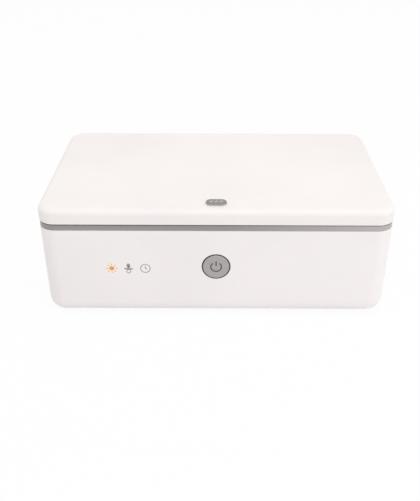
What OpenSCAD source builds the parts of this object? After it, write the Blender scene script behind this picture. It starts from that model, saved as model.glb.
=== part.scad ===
// Household UV-C sterilizer case for pacifiers and other small baby things.
// X runs to the right as the front is faced, Y runs to the back, Z runs up.
// The origin is the middle of the footprint, on the surface that the feet stand on.

/* [Case] */
// Width across the front
case_w = 300; // [290:1:330]
// Depth from front to back
case_d = 176; // [172:1:200]
// Plan radius of the upright corners
corner_r = 15; // [14:0.5:17]

/* [Base tub] */
// Height of the tub
base_h = 85.5; // [80:0.5:110]
// Thickness of the tub's walls
base_wall = 2.8; // [2.4:0.1:3.2]
// Thickness of the tub's floor
base_floor = 2.8; // [2.4:0.1:3.6]
// Radius of the rounded edge round the tub's foot
base_edge_r = 13; // [9:0.5:13]
// Radius of the round mounting posts
post_r = 3.2; // [2.8:0.1:4]
// Length of a vent slot
vent_l = 30; // [16:1:36]
// Width of a vent slot
vent_w = 2.4; // [1.6:0.1:3]
// Pitch of the vent slots
vent_pitch = 8; // [6:0.5:10]
// Number of vent slots
vent_count = 7; // [3:1:9]

/* [Feet] */
// Radius of a foot
foot_r = 7; // [5:0.5:8]
// How far a foot stands proud of the tub
foot_proud = 1.5; // [1:0.1:3]
// Depth of the recess that holds a foot
foot_recess = 0.6; // [0.4:0.1:1]
// Distance of a foot's centre from the nearest two sides
foot_inset = 27; // [24:0.5:34]

/* [Trim band] */
// Height of the band that shows between tub and lid
band_h = 5.5; // [5:0.1:7]
// How far the band's face lies in from the case's face
band_inset = 0.4; // [0.2:0.1:0.8]
// Width of the band, from its face to its inner edge
band_w = 7.6; // [7.2:0.1:7.8]
// Height of the skirt that locates the band in the tub
skirt_h = 4; // [3:0.5:6]
// Thickness of the skirt
skirt_t = 1.5; // [1:0.1:1.8]

/* [Chamber] */
// Distance from the case's outline to the chamber's wall
chamber_inset = 18; // [17.5:0.5:22]
// Plan radius of the chamber's corners
chamber_r = 10; // [8:0.5:12]
// Radius between the chamber's wall and floor
chamber_edge_r = 3; // [3:0.5:5]
// Height of the chamber's floor above the surface that the case stands on
chamber_floor_z = 26; // [26:0.5:34]
// Thickness of the pressed steel liner
liner_t = 0.6; // [0.5:0.1:1]
// Distance from the case's outline to the liner's flange
flange_inset = 6; // [5.6:0.1:6.4]
// Distance of the liner's screws from the chamber's walls
liner_screw_inset = 17; // [14:0.5:24]

/* [Lid] */
// Height of the lid's moulding
lid_h = 13; // [13:0.5:18]
// Gap between band and lid
lid_gap = 0.5; // [0.4:0.1:0.8]
// Thickness of the lid's side walls
lid_wall = 2.5; // [2.2:0.1:2.8]
// Thickness of the lid's top
lid_top_t = 2.5; // [2:0.1:2.8]
// Radius of the rounded edge round the lid's top
lid_edge_r = 5; // [3:0.5:6]
// Thickness of the lid's inner frame
frame_t = 1.5; // [1.2:0.1:1.8]
// Height of the frame's underside above the band
frame_lift = 1.1; // [1:0.1:1.3]
// Depth of the baffle below the frame
baffle_h = 5; // [3:0.5:7]
// Thickness of the baffle
baffle_t = 2; // [1.5:0.1:2.5]
// Gap between the baffle and the chamber's wall
baffle_gap = 1.5; // [1.2:0.1:2.5]
// Ledge of the frame inside the baffle, on which the reflector lies
ledge_w = 3; // [2:0.5:4]
// Thickness of the lid's steel reflector
reflector_t = 0.5; // [0.4:0.1:0.8]
// Distance from the case's outline to the gasket's outer edge
gasket_inset = 9; // [8.8:0.1:9.4]
// Width of the gasket
gasket_w = 3; // [2.6:0.1:3.2]
// Depth of the gasket's groove in the frame
groove_t = 0.6; // [0.4:0.1:0.8]

/* [Hinge] */
// Distance of a hinge's middle from the end of the case
hinge_inset = 55; // [50:1:62]
// Length of a hinge's barrel
hinge_l = 38; // [32:1:42]
// Length of one of the two outer knuckles, which stay with the tub
outer_knuckle_l = 9; // [7:0.5:11]
// Gap between two knuckles
knuckle_gap = 0.25; // [0.2:0.05:0.5]
// Radius of the knuckles
knuckle_r = 3.4; // [3.2:0.1:3.6]
// Radius of the hinge pin
hinge_pin_r = 1.5; // [1.2:0.1:1.7]
// Thickness of the hinge leaves
leaf_t = 1.5; // [1.2:0.1:1.6]
// Height of the leaf that is screwed inside the tub
tub_leaf_h = 20; // [17:0.5:26]
// Depth of the leaf that is screwed inside the lid
lid_leaf_d = 16.5; // [15:0.5:19]
// Distance between the two screws of a leaf
leaf_screw_pitch = 22; // [18:0.5:26]

/* [Power button] */
// Radius of the button with its bezel
bezel_r = 12.5; // [11:0.5:13]
// Width of the bezel that shows round the cap
bezel_w = 0.8; // [0.6:0.1:1.2]
// Depth of the bezel's rim in the tub's wall
bezel_t = 1.4; // [1:0.1:1.6]
// Height of the button's centre above the surface that the case stands on
button_z = 52; // [46:0.5:56]
// How far the cap stands proud of the tub's face
cap_proud = 0.6; // [0.3:0.1:1]
// Radius of the cap's rounded edge
cap_edge_r = 0.8; // [0.4:0.1:1]
// Travel of the button
button_travel = 0.8; // [0.5:0.1:1]

/* [Status window] */
// Length of the window across the lid
window_l = 17.5; // [15:0.5:22]
// Width of the window from front to back
window_w = 9.5; // [8:0.5:10]
// Distance of the window's middle from the lid's front edge
window_inset = 13.9; // [13.4:0.1:14.6]
// How far the window stands proud of the lid
window_proud = 1.9; // [1:0.1:2.4]
// Pitch of the three lights behind the window
light_pitch = 4.2; // [3.6:0.1:5]

/* [Lamps] */
// Pitch of the UV-C lamps along the chamber
lamp_pitch = 60; // [50:1:62]
// Number of UV-C lamps on each board
lamp_count = 4; // [2:2:4]
// Radius of a lamp's opening
aperture_r = 6; // [5:0.5:7]
// Radius of a quartz window
quartz_r = 8; // [7.5:0.5:9]
// Thickness of a quartz window
quartz_t = 1.5; // [1:0.1:1.5]
// Width of a lamp board
lamp_board_w = 24; // [20:1:30]
// Distance from the outermost lamp to the end of its board
lamp_board_end = 20; // [18:1:24]

/* [Rack] */
// Gap between the rack and the chamber's walls
rack_gap = 6; // [6:0.5:9]
// Radius of the rack's rim wire
rim_wire_r = 1.5; // [1.3:0.1:1.8]
// Radius of the rack's cross wires
cross_wire_r = 1; // [0.8:0.1:1.2]
// Number of cross wires
cross_wire_count = 17; // [11:2:19]
// Plan radius of the rack's corners, at the middle of its wire
rack_r = 9; // [7:0.5:12]
// Height of the rim wire's middle above the chamber's floor
rack_h = 7; // [6:0.5:12]
// Height of the two lifting loops above the rim
loop_h = 14; // [10:1:20]
// Width of the two lifting loops
loop_w = 56; // [40:1:70]
// Radius of the loops' wire
loop_wire_r = 1.2; // [1:0.1:1.4]

/* [Power inlet] */
// Distance of the inlet from the end of the case
inlet_inset = 54; // [48:1:60]
// Height of the inlet above the surface that the case stands on
inlet_z = 24; // [23.5:0.5:30]
// Radius of the inlet's threaded barrel
inlet_r = 5.5; // [5:0.1:6]
// Radius of the inlet's socket
socket_r = 2.9; // [2.7:0.1:3.1]
// Radius of the contact pin in the socket
contact_r = 1; // [0.8:0.05:1.2]

/* [Boards] */
// Length of the control board
board_l = 120; // [110:1:124]
// Gap in plan between the lower lamp board and the control board
board_gap = 6; // [5:0.5:8]
// Distance of the control board's middle from the middle of the case
board_x = 48; // [40:1:50]
// Thickness of the circuit boards
board_t = 1.6; // [1.2:0.1:1.8]
// Length of the switch's board
switch_board_l = 44; // [40:1:50]
// Height of the switch's board
switch_board_h = 20; // [18:1:24]

/* [Fixings] */
// Radius of a screw's shank
screw_r = 1.5; // [1.2:0.1:1.5]
// Radius of a screw's head
head_r = 2.7; // [2.4:0.1:2.8]
// Height of a screw's head
head_h = 1.3; // [1:0.1:1.4]
// Radius of the closing magnets
magnet_r = 2.5; // [2:0.1:2.6]
// Thickness of the closing magnets
magnet_t = 3; // [2:0.1:3]
// Distance of the closing magnets from the middle of the case
magnet_x = 70; // [60:1:80]

/* [Hidden] */
$fn = 64;
// Amount by which a cut runs past a face
over = 0.1;
// Sink of a boss into the wall that it grows from
root = 0.5;
// Radial clearance of a part that is pressed or screwed home
snug = 0.05;
// Radial clearance of a pin in a knuckle that turns on it
pin_run = 0.05;
// Clearance round a part that is dropped in
loose = 0.2;
// Clearance of a moving part from a fixed one
run = 0.3;
// Radial clearance of a screw in a hole that it passes through
screw_pass = 0.25;
// Radial clearance of a screw in the boss that it bites in
screw_bite = 0.02;

// Levels
base_z0 = foot_proud;
base_z1 = base_z0 + base_h;
base_in_z = base_z0 + base_floor;
band_z1 = base_z1 + band_h;
lid_z0 = band_z1 + lid_gap;
lid_z1 = lid_z0 + lid_h;
lid_in_z = lid_z1 - lid_top_t;
frame_z0 = band_z1 + frame_lift;
frame_z1 = frame_z0 + frame_t;
reflector_z1 = frame_z1 + reflector_t;
liner_z0 = chamber_floor_z - liner_t;
flange_z0 = band_z1 - liner_t;

// Half sizes of the case and of the space inside its walls
half_w = case_w / 2;
half_d = case_d / 2;
base_in_y = half_d - base_wall;
band_inner = band_inset + band_w;
band_mid_inset = band_inset + band_w / 2;
chamber_w = case_w - 2 * chamber_inset;
chamber_d = case_d - 2 * chamber_inset;
liner_y = chamber_d / 2 + liner_t;
skirt_inset = base_wall + loose;

// Lamp boards
lamp_board_l = (lamp_count - 1) * lamp_pitch + 2 * lamp_board_end;
lamp_x = [for (i = [0:lamp_count - 1]) (i - (lamp_count - 1) / 2) * lamp_pitch];
lamp_screw_edge = 6;
lamp_screw_x = lamp_board_l / 2 - lamp_screw_edge;
lamp_size = 3.5;
lamp_h = 1.3;
lamp_air = 2;
base_lamp_z = liner_z0 - quartz_t - lamp_air - lamp_h;
base_lamp_board_z = base_lamp_z - board_t;
lid_lamp_air = 0.2;
lid_lamp_board_z = reflector_z1 + quartz_t + lid_lamp_air + lamp_h;

// Hinge
hinge_x = half_w - hinge_inset;
hinge_z = band_z1 + lid_gap / 2;
channel_r = knuckle_r + 0.5;
channel_l = hinge_l + 1;
lid_knuckle_l = hinge_l - 2 * outer_knuckle_l - 2 * knuckle_gap;
pad_d = 4.1;
pad_y = base_in_y - pad_d;
pad_z1 = base_z1 - skirt_h - root;
tub_leaf_z1 = hinge_z - knuckle_r + leaf_t;
tub_leaf_z0 = tub_leaf_z1 - tub_leaf_h;
tub_leaf_y = pad_y - leaf_t;
tub_leaf_screw_z = (tub_leaf_z0 + pad_z1) / 2;
lid_arm_z = hinge_z + knuckle_r - leaf_t;
lid_riser_y = half_d - 6.5;
lid_leaf_z1 = lid_arm_z + 3.85;
lid_leaf_y = lid_riser_y + leaf_t - lid_leaf_d;
lid_leaf_screw_y = lid_leaf_y + lid_leaf_d / 2;

// Power button: the cap slides in the bezel's sleeve and stops on its inner end
cap_r = bezel_r - bezel_w - run;
sleeve_r = bezel_r - bezel_w;
sleeve_wall = 1;
sleeve_l = 6;
sleeve_end_y = -half_d + sleeve_l;
cap_y0 = -half_d - cap_proud;
cap_flange_t = 1.5;
cap_flange_r = sleeve_r + sleeve_wall + 0.9;
cap_y1 = sleeve_end_y + run + cap_flange_t;
cap_wall = 1.6;
plunger_r = 1.75;
plunger_out = button_travel + 0.8;
plunger_in = 1.4;
switch_size = 6;
switch_h = 3.5;
switch_y0 = cap_y1 + plunger_out;
switch_board_t = 1.2;
switch_board_y = switch_y0 + switch_h;
switch_screw_x = switch_board_l / 2 - 4;

// Status window
window_y = -half_d + window_inset;
window_lip = 1.2;
window_lip_t = 1.2;
status_board_l = window_l + 2 * 7;
status_board_w = 11;
status_board_t = 1.2;
status_board_z = frame_z1 + 2.1;
status_screw_x = status_board_l / 2 - 3;
light_w = 1.6;
light_h = 1.4;

// Closing magnets and lid sensor
magnet_y = -half_d + band_mid_inset;
reed_x = 14;
reed_l = 14;
reed_r = 1.4;
reed_y = -half_d + band_inner - 2.6;
reed_z = base_z1 + 1.7;
sensor_magnet_r = 1.5;
sensor_magnet_t = 2;
cup_wall = 0.9;

// Control board
board_z = base_in_z + 4;
board_y1 = chamber_d / 2 - 4;
board_y0 = lamp_board_w / 2 + board_gap;
board_y = (board_y0 + board_y1) / 2;
board_x0 = board_x - board_l / 2;
board_x1 = board_x + board_l / 2;
board_top = board_z + board_t;
board_screw_edge = 4.5;
plug_h = 6.5;
plug_d = 6;
plug_wall = 1.5;
plug_lead_z = board_top + plug_h / 2;
package_w = 12;
package_t = 1.6;
inductor_h = 5.5;
capacitor_r = 4;
capacitor_h = 10;

// Leads: the low-voltage ones are thin, those of lamps and inlet are thick
lead_t = 0.8;
power_lead_t = 1;
lead_bend = 3;
base_led_lead_x = 70;
base_led_lead_w = 6;
base_led_lead_y = lamp_board_w / 2 + board_gap / 3;
switch_lead_x = 10;
switch_lead_w = 7;
switch_lead_y = board_y0 - board_gap / 3;
inlet_lead_w = 4;
status_lead_x = -10;
status_lead_w = 5;
reed_lead_w = 5;

// Power inlet
inlet_x = half_w - inlet_inset;
inlet_flange_r = inlet_r + 1.8;
inlet_flange_t = 1.5;
inlet_body_l = 14;
terminal_d = 1.6;
nut_t = 2.5;
nut_r = inlet_r + 3;
terminal_w = 11;

// Ribbon to the lid, which passes between the gasket and the hinge line
harness_x = 15;
harness_w = 12;
harness_t = 0.8;
harness_y = half_d - gasket_inset + 1.8;
harness_slot_w = harness_w + 6;
harness_slot_y0 = harness_y - 1.2;
harness_slot_y1 = harness_y + 1.8;
harness_top_z = lid_lamp_board_z + board_t + 1;
harness_plug_h = 2.2;

// Places of the screws that hold the lid's frame, in the strip between gasket and baffle
frame_screw_inset = (gasket_inset + gasket_w + chamber_inset + baffle_gap) / 2;
frame_screw_at = [
    for (x = [-1, 1]) [x * case_w / 6, half_d - frame_screw_inset],
    for (x = [-1, 1]) [x * case_w / 3, -half_d + frame_screw_inset],
    for (x = [-1, 1]) [x * (half_w - frame_screw_inset), 0]
];
frame_cup_r = head_r + 0.3 + cup_wall;
frame_cup_h = 2;
reflector_screw_at = [for (x = [-1, 1], y = [-1, 1]) [x * chamber_w / 4, y * chamber_d * 0.31]];
liner_screw_at = [
    for (x = [-1, 1], y = [-1, 1])
        [x * (chamber_w / 2 - liner_screw_inset), y * (chamber_d / 2 - liner_screw_inset)]
];
foot_at = [for (x = [-1, 1], y = [-1, 1]) [x * (half_w - foot_inset), y * (half_d - foot_inset)]];
board_screw_at = [
    for (x = [board_x0 + board_screw_edge, board_x1 - board_screw_edge])
        for (y = [board_y0 + board_screw_edge, board_y1 - board_screw_edge]) [x, y]
];
lamp_screw_at = [for (x = [-1, 0, 1]) [x * lamp_screw_x, 0]];
screw_l = 7;
short_screw_l = 4;

// Rack
rack_w = chamber_w - 2 * rack_gap - 2 * rim_wire_r;
rack_d = chamber_d - 2 * rack_gap - 2 * rim_wire_r;
rim_z = chamber_floor_z + rack_h;
cross_z = rim_z + rim_wire_r + 0.4 * cross_wire_r;
cross_pitch = (rack_w - 2 * rack_r) / (cross_wire_count - 1);
leg_x = rack_w / 2 - rack_r - 12;
rack_foot_r = rim_wire_r + 1;
rack_foot_h = 4;
rack_foot_wall = 1;

// Colours
white = [0.95, 0.94, 0.93];
satin = [0.62, 0.6, 0.59];
steel = [0.8, 0.81, 0.82];
dark = [0.3, 0.29, 0.3];
board_green = [0.12, 0.32, 0.2];
quartz = [0.8, 0.85, 0.95, 0.5];

// Rectangle with round corners, centred
module rounded(w, d, r) {
    square([w - 2 * r, d], center = true);
    square([w, d - 2 * r], center = true);
    for (x = [-1, 1], y = [-1, 1])
        translate([x * (w / 2 - r), y * (d / 2 - r)])
            circle(r);
}

// Outline of the case, drawn in by an inset
module case_outline(inset) {
    rounded(case_w - 2 * inset, case_d - 2 * inset, corner_r - inset);
}

// Outline of the chamber, grown by an amount
module chamber_outline(grow) {
    rounded(chamber_w + 2 * grow, chamber_d + 2 * grow, chamber_r + grow);
}

// Wall section from a corner's axis outwards, its foot rounded
module corner_section(r, h, edge) {
    intersection() {
        union() {
            square([r - edge, h]);
            translate([0, edge])
                square([r, h - edge]);
            translate([r - edge, edge])
                circle(edge);
        }
        square([r, h]);
    }
}

// Section right across a block, both its lower edges rounded
module block_section(w, h, edge) {
    translate([-w / 2 + edge, 0])
        square([w - 2 * edge, h]);
    translate([-w / 2, edge])
        square([w, h - edge]);
    for (x = [-1, 1])
        translate([x * (w / 2 - edge), edge])
            circle(edge);
}

// Block on z = 0 with upright corners of radius r and a rounded edge round its foot
module rounded_block(w, d, r, h, edge) {
    for (x = [-1, 1], y = [-1, 1])
        translate([x * (w / 2 - r), y * (d / 2 - r), 0])
            rotate_extrude()
                corner_section(r, h, edge);
    translate([0, d / 2 - r, 0])
        rotate([90, 0, 0])
            linear_extrude(d - 2 * r)
                block_section(w, h, edge);
    translate([-w / 2 + r, 0, 0])
        rotate([90, 0, 90])
            linear_extrude(w - 2 * r)
                block_section(d, h, edge);
}

// Upright cylinder between two levels
module post(r, z0, z1) {
    translate([0, 0, z0])
        cylinder(r = r, h = z1 - z0);
}

// Cylinder along Y between two places
module rod_y(r, y0, y1) {
    translate([0, y0, 0])
        rotate([-90, 0, 0])
            cylinder(r = r, h = y1 - y0);
}

// Cylinder along X, centred
module rod_x(r, l) {
    rotate([0, 90, 0])
        cylinder(r = r, h = l, center = true);
}

// Box given by its low corner and its high corner
module span(low, high) {
    translate(low)
        cube(high - low);
}

// Pan-head screw: its head stands on z = 0 and its shank runs down
module screw(l) {
    difference() {
        union() {
            cylinder(r = head_r, h = head_h);
            translate([0, 0, -l])
                cylinder(r = screw_r, h = l + root);
        }
        for (a = [0, 90])
            rotate([0, 0, a])
                translate([0, 0, head_h])
                    cube([head_r * 1.1, 0.7, head_h], center = true);
    }
}

// Flat lead that follows right-angled points in a plane and is as wide as w across it
module flat_lead(points, t, w) {
    linear_extrude(w, center = true)
        for (i = [0:len(points) - 2])
            let (a = points[i], b = points[i + 1])
                translate([min(a[0], b[0]) - t / 2, min(a[1], b[1]) - t / 2])
                    square([abs(a[0] - b[0]) + t, abs(a[1] - b[1]) + t]);
}

// The same lead in the upright plane at x, its points given as [y, z]
module upright_lead(x, points, t, w) {
    translate([x, 0, 0])
        rotate([90, 0, 90])
            flat_lead(points, t, w);
}

// Space that the two hinges need in band, frame and lid
module hinge_channels() {
    for (x = [-1, 1])
        translate([x * hinge_x, half_d, hinge_z])
            rod_x(channel_r, channel_l);
}

module at_each(places) {
    for (p = places)
        translate([p[0], p[1], 0])
            children();
}

module at_hinges() {
    for (x = [-1, 1])
        translate([x * hinge_x, 0, 0])
            children();
}

// Moulded tub with the posts, pads and bosses that everything in it is fixed to
module base_shell() {
    color(white)
        difference() {
            union() {
                difference() {
                    translate([0, 0, base_z0])
                        rounded_block(case_w, case_d, corner_r, base_h, base_edge_r);
                    translate([0, 0, base_in_z])
                        rounded_block(
                            case_w - 2 * base_wall, case_d - 2 * base_wall,
                            corner_r - base_wall, base_h, base_edge_r - base_wall
                        );
                }
                at_each(liner_screw_at)
                    post(post_r + 0.6, base_in_z - root, liner_z0);
                at_each(board_screw_at)
                    post(post_r, base_in_z - root, board_z);
                at_each(lamp_screw_at)
                    post(post_r, base_in_z - root, base_lamp_board_z);
                at_hinges()
                    span(
                        [-hinge_l / 2, pad_y, tub_leaf_z0],
                        [hinge_l / 2, base_in_y + root, pad_z1]
                    );
                for (x = [-1, 1])
                    translate([x * switch_screw_x, 0, button_z])
                        rod_y(post_r, -base_in_y - root, switch_board_y);
            }
            at_each(liner_screw_at)
                post(screw_r + screw_bite, liner_z0 - screw_l, liner_z0 + over);
            at_each(board_screw_at)
                post(screw_r + screw_bite, board_z - short_screw_l, board_z + over);
            at_each(lamp_screw_at)
                post(
                    screw_r + screw_bite, base_lamp_board_z - screw_l, base_lamp_board_z + over
                );
            at_hinges()
                for (x = [-1, 1])
                    translate([x * leaf_screw_pitch / 2, 0, tub_leaf_screw_z])
                        rod_y(screw_r + screw_bite, pad_y - over, pad_y + short_screw_l);
            for (x = [-1, 1])
                translate([x * switch_screw_x, 0, button_z])
                    rod_y(
                        screw_r + screw_bite, switch_board_y - screw_l, switch_board_y + over
                    );
            translate([0, 0, button_z]) {
                rod_y(bezel_r + snug, -half_d - over, -half_d + bezel_t);
                rod_y(sleeve_r + sleeve_wall * 0.6 + snug, -half_d, -base_in_y + root);
            }
            translate([inlet_x, 0, inlet_z])
                rod_y(inlet_r + snug, base_in_y - root, half_d + over);
            at_each(foot_at)
                post(foot_r + snug, base_z0 - over, base_z0 + foot_recess);
            for (i = [0:vent_count - 1])
                translate([
                    board_x + (i - (vent_count - 1) / 2) * vent_pitch, board_y, base_z0 + base_floor / 2
                ])
                    cube([vent_w, vent_l, base_floor * 2], center = true);
        }
}

// Four rubber pads bonded into the recesses under the tub
module rubber_feet() {
    color(dark)
        at_each(foot_at)
            post(foot_r, 0, base_z0 + foot_recess);
}

// Satin metal band that caps the tub's wall and carries the liner's flange
module trim_band() {
    color(satin)
        difference() {
            union() {
                translate([0, 0, base_z1])
                    linear_extrude(band_h)
                        difference() {
                            case_outline(band_inset);
                            case_outline(band_inner);
                        }
                translate([0, 0, base_z1 - skirt_h])
                    linear_extrude(skirt_h + root)
                        difference() {
                            case_outline(skirt_inset);
                            case_outline(skirt_inset + skirt_t);
                        }
            }
            translate([0, 0, flange_z0])
                linear_extrude(liner_t + over)
                    case_outline(flange_inset - loose);
            at_hinges() {
                span(
                    [-channel_l / 2, tub_leaf_y - run, hinge_z - knuckle_r - 0.35],
                    [channel_l / 2, half_d + over, band_z1 + over]
                );
                span(
                    [-channel_l / 2, tub_leaf_y - run, base_z1 - skirt_h - over],
                    [channel_l / 2, pad_y + run, band_z1 + over]
                );
            }
            for (x = [-1, 1])
                translate([x * magnet_x, magnet_y, 0])
                    post(magnet_r + snug, base_z1 - skirt_h - over, base_z1 + magnet_t + loose);
            span(
                [reed_x - reed_l / 2 - run, reed_y - reed_r - run, base_z1 - skirt_h - over],
                [reed_x + reed_l / 2 + run, reed_y + reed_r + run, reed_z + reed_r + loose]
            );
            span(
                [harness_x - harness_slot_w / 2, harness_slot_y0, base_z1 - over],
                [harness_x + harness_slot_w / 2, harness_slot_y1, band_z1 + over]
            );
        }
}

// Pressed stainless tub that hangs by its flange in the band
module chamber_liner() {
    color(steel)
        difference() {
            union() {
                translate([0, 0, liner_z0])
                    rounded_block(
                        chamber_w + 2 * liner_t, chamber_d + 2 * liner_t, chamber_r + liner_t,
                        band_z1 - liner_z0, chamber_edge_r + liner_t
                    );
                translate([0, 0, flange_z0])
                    linear_extrude(liner_t)
                        case_outline(flange_inset);
            }
            translate([0, 0, chamber_floor_z])
                rounded_block(chamber_w, chamber_d, chamber_r, band_z1, chamber_edge_r);
            for (x = lamp_x)
                translate([x, 0, 0])
                    post(aperture_r, liner_z0 - over, chamber_floor_z + over);
            at_each(liner_screw_at)
                post(screw_r + screw_pass, liner_z0 - over, chamber_floor_z + over);
            span(
                [harness_x - harness_slot_w / 2, harness_slot_y0, flange_z0 - over],
                [harness_x + harness_slot_w / 2, half_d, band_z1 + over]
            );
        }
}

module liner_screws() {
    color(steel)
        at_each(liner_screw_at)
            translate([0, 0, chamber_floor_z])
                screw(screw_l - 1);
}

// Quartz discs bonded under the openings in the liner's floor
module base_windows() {
    color(quartz)
        for (x = lamp_x)
            translate([x, 0, 0])
                post(quartz_r, liner_z0 - quartz_t, liner_z0);
}

// Strip board that carries a row of lamps, its lower face at z
module lamp_board(z) {
    color(board_green)
        difference() {
            translate([0, 0, z])
                linear_extrude(board_t)
                    square([lamp_board_l, lamp_board_w], center = true);
            at_each(lamp_screw_at)
                post(screw_r + screw_pass, z - over, z + board_t + over);
        }
}

// Row of lamp packages, each with a raised square emitter, seated on z and facing up
module lamp_row() {
    color("gold")
        for (x = lamp_x)
            translate([x, 0, 0]) {
                translate([0, 0, lamp_h * 0.35])
                    cube([lamp_size, lamp_size, lamp_h * 0.7], center = true);
                post(lamp_size * 0.36, lamp_h * 0.5, lamp_h);
            }
}

module base_led_board() {
    lamp_board(base_lamp_board_z);
}

module base_led_screws() {
    color(steel)
        at_each(lamp_screw_at)
            translate([0, 0, base_lamp_z])
                screw(screw_l - 1);
}

module base_uv_leds() {
    translate([0, 0, base_lamp_z])
        lamp_row();
}

// Lead from the edge of the lower lamp board to its plug on the control board
module base_led_lead() {
    z = base_lamp_board_z + board_t / 2;
    color("ivory")
        upright_lead(
            base_led_lead_x,
            [[lamp_board_w / 2 + power_lead_t / 2, z], [base_led_lead_y, z],
                [base_led_lead_y, plug_lead_z], [board_y0 + power_lead_t / 2, plug_lead_z]],
            power_lead_t, base_led_lead_w
        );
}

module main_board() {
    color(board_green)
        difference() {
            span([board_x0, board_y0, board_z], [board_x1, board_y1, board_top]);
            at_each(board_screw_at)
                post(screw_r + screw_pass, board_z - over, board_top + over);
        }
}

module main_board_screws() {
    color(steel)
        at_each(board_screw_at)
            translate([0, 0, board_top])
                screw(short_screw_l + board_t - 0.5);
}

// Controller, driver and regulator packages and the inductor
module main_board_chips() {
    color(dark) {
        package_at(board_x - board_l / 20, board_y, package_w, package_w, package_t);
        for (y = [-1, 1])
            package_at(
                board_x + 0.15 * board_l, board_y + y * package_w * 2 / 3,
                package_w * 2 / 3, package_w / 2, package_t
            );
        package_at(
            board_x + 0.32 * board_l, board_y - package_w / 2, package_w, package_w, inductor_h
        );
    }
}

module package_at(x, y, w, d, h) {
    span([x - w / 2, y - d / 2, board_top], [x + w / 2, y + d / 2, board_top + h]);
}

module main_board_capacitors() {
    color("slategray")
        for (i = [0, 1])
            translate([
                board_x - 0.3 * board_l + i * 2.75 * capacitor_r, board_y + 1.5 * capacitor_r, 0
            ])
                post(capacitor_r, board_top, board_top + capacitor_h);
}

// Plug housings: lid ribbon, power, switch and lower lamps
module main_board_connectors() {
    color("ivory") {
        plug_at(harness_x, board_y1 - plug_d, harness_w);
        plug_at(inlet_x, board_y1 - plug_d, inlet_lead_w);
        plug_at(switch_lead_x, board_y0 + power_lead_t, switch_lead_w);
        plug_at(base_led_lead_x, board_y0 + power_lead_t, base_led_lead_w);
    }
}

// Housing round the end of a lead that is w wide
module plug_at(x, y, w) {
    r = w / 2 + plug_wall;
    span([x - r, y, board_top], [x + r, y + plug_d, board_top + plug_h]);
}

// Panel socket for a barrel plug, with a flange outside and its contacts behind
module dc_inlet() {
    color(dark)
        translate([inlet_x, 0, inlet_z])
            difference() {
                union() {
                    rod_y(inlet_r, half_d - inlet_body_l, half_d + root);
                    rod_y(inlet_flange_r, half_d, half_d + inlet_flange_t);
                    translate([0, half_d - inlet_body_l - terminal_d / 2 + over, 0])
                        cube([terminal_w, terminal_d + 2 * over, terminal_w], center = true);
                }
                difference() {
                    rod_y(socket_r, half_d - 9, half_d + inlet_flange_t + over);
                    rod_y(contact_r, half_d - 9 - root, half_d);
                }
            }
}

module inlet_nut() {
    color(steel)
        translate([inlet_x, 0, inlet_z])
            difference() {
                translate([0, base_in_y - nut_t, 0])
                    rotate([-90, 0, 0])
                        cylinder(r = nut_r, h = nut_t, $fn = 6);
                rod_y(inlet_r + screw_bite, base_in_y - nut_t - over, base_in_y + over);
            }
}

// Pair of wires from the inlet's contacts to the control board
module inlet_lead() {
    y = half_d - inlet_body_l - terminal_d / 2;
    color("firebrick")
        upright_lead(
            inlet_x,
            [[y, inlet_z - terminal_w / 2 - power_lead_t / 2], [y, plug_lead_z],
                [board_y1 + power_lead_t / 2, plug_lead_z]],
            power_lead_t, inlet_lead_w
        );
}

// Dark ring round the cap; its sleeve guides the cap through the wall
module button_bezel() {
    color(dark)
        translate([0, 0, button_z])
            difference() {
                union() {
                    rod_y(bezel_r, -half_d, -half_d + bezel_t);
                    rod_y(sleeve_r + sleeve_wall * 0.6, -half_d + over, sleeve_end_y);
                }
                rod_y(sleeve_r, -half_d - over, sleeve_end_y + over);
            }
}

// Section of the cap from its axis outwards: face up, edge rounded, flange at its foot
module cap_section() {
    l = cap_y1 - cap_y0;
    difference() {
        union() {
            square([cap_r - cap_edge_r, l]);
            square([cap_r, l - cap_edge_r]);
            translate([cap_r - cap_edge_r, l - cap_edge_r])
                circle(cap_edge_r);
            square([cap_flange_r, cap_flange_t]);
        }
        translate([plunger_r + 1, -over])
            square([cap_r - cap_wall - plunger_r - 1, l - cap_wall + over]);
        translate([-2 * cap_r, -over])
            square([2 * cap_r, l + 2 * over]);
    }
}

// Satin cap, hollow from behind, with a boss that bears on the switch
module power_button() {
    color(satin)
        translate([0, cap_y1, button_z])
            rotate([90, 0, 0])
                rotate_extrude()
                    cap_section();
}

module switch_plunger() {
    color("black")
        translate([0, 0, button_z])
            rod_y(plunger_r, cap_y1, switch_y0 + plunger_in);
}

module switch_body() {
    color("dimgray")
        translate([0, 0, button_z])
            difference() {
                span(
                    [-switch_size / 2, switch_y0, -switch_size / 2],
                    [switch_size / 2, switch_board_y, switch_size / 2]
                );
                rod_y(plunger_r + pin_run, switch_y0 - over, switch_y0 + plunger_in + button_travel + run);
            }
}

module switch_board() {
    color(board_green)
        difference() {
            translate([0, 0, button_z])
                span(
                    [-switch_board_l / 2, switch_board_y, -switch_board_h / 2],
                    [switch_board_l / 2, switch_board_y + switch_board_t, switch_board_h / 2]
                );
            for (x = [-1, 1])
                translate([x * switch_screw_x, 0, button_z])
                    rod_y(
                        screw_r + screw_pass, switch_board_y - over,
                        switch_board_y + switch_board_t + over
                    );
        }
}

module switch_screws() {
    color(steel)
        for (x = [-1, 1])
            translate([x * switch_screw_x, switch_board_y + switch_board_t, button_z])
                rotate([-90, 0, 0])
                    screw(screw_l);
}

// Lead from the foot of the switch's board, along the floor, to the control board
module switch_lead() {
    y = switch_board_y + switch_board_t / 2;
    z = base_in_z + 1.6;
    color("ivory")
        upright_lead(
            switch_lead_x,
            [[y, button_z - switch_board_h / 2 - lead_t / 2], [y, z], [switch_lead_y, z],
                [switch_lead_y, plug_lead_z], [board_y0 + power_lead_t - lead_t / 2, plug_lead_z]],
            lead_t, switch_lead_w
        );
}

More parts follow.
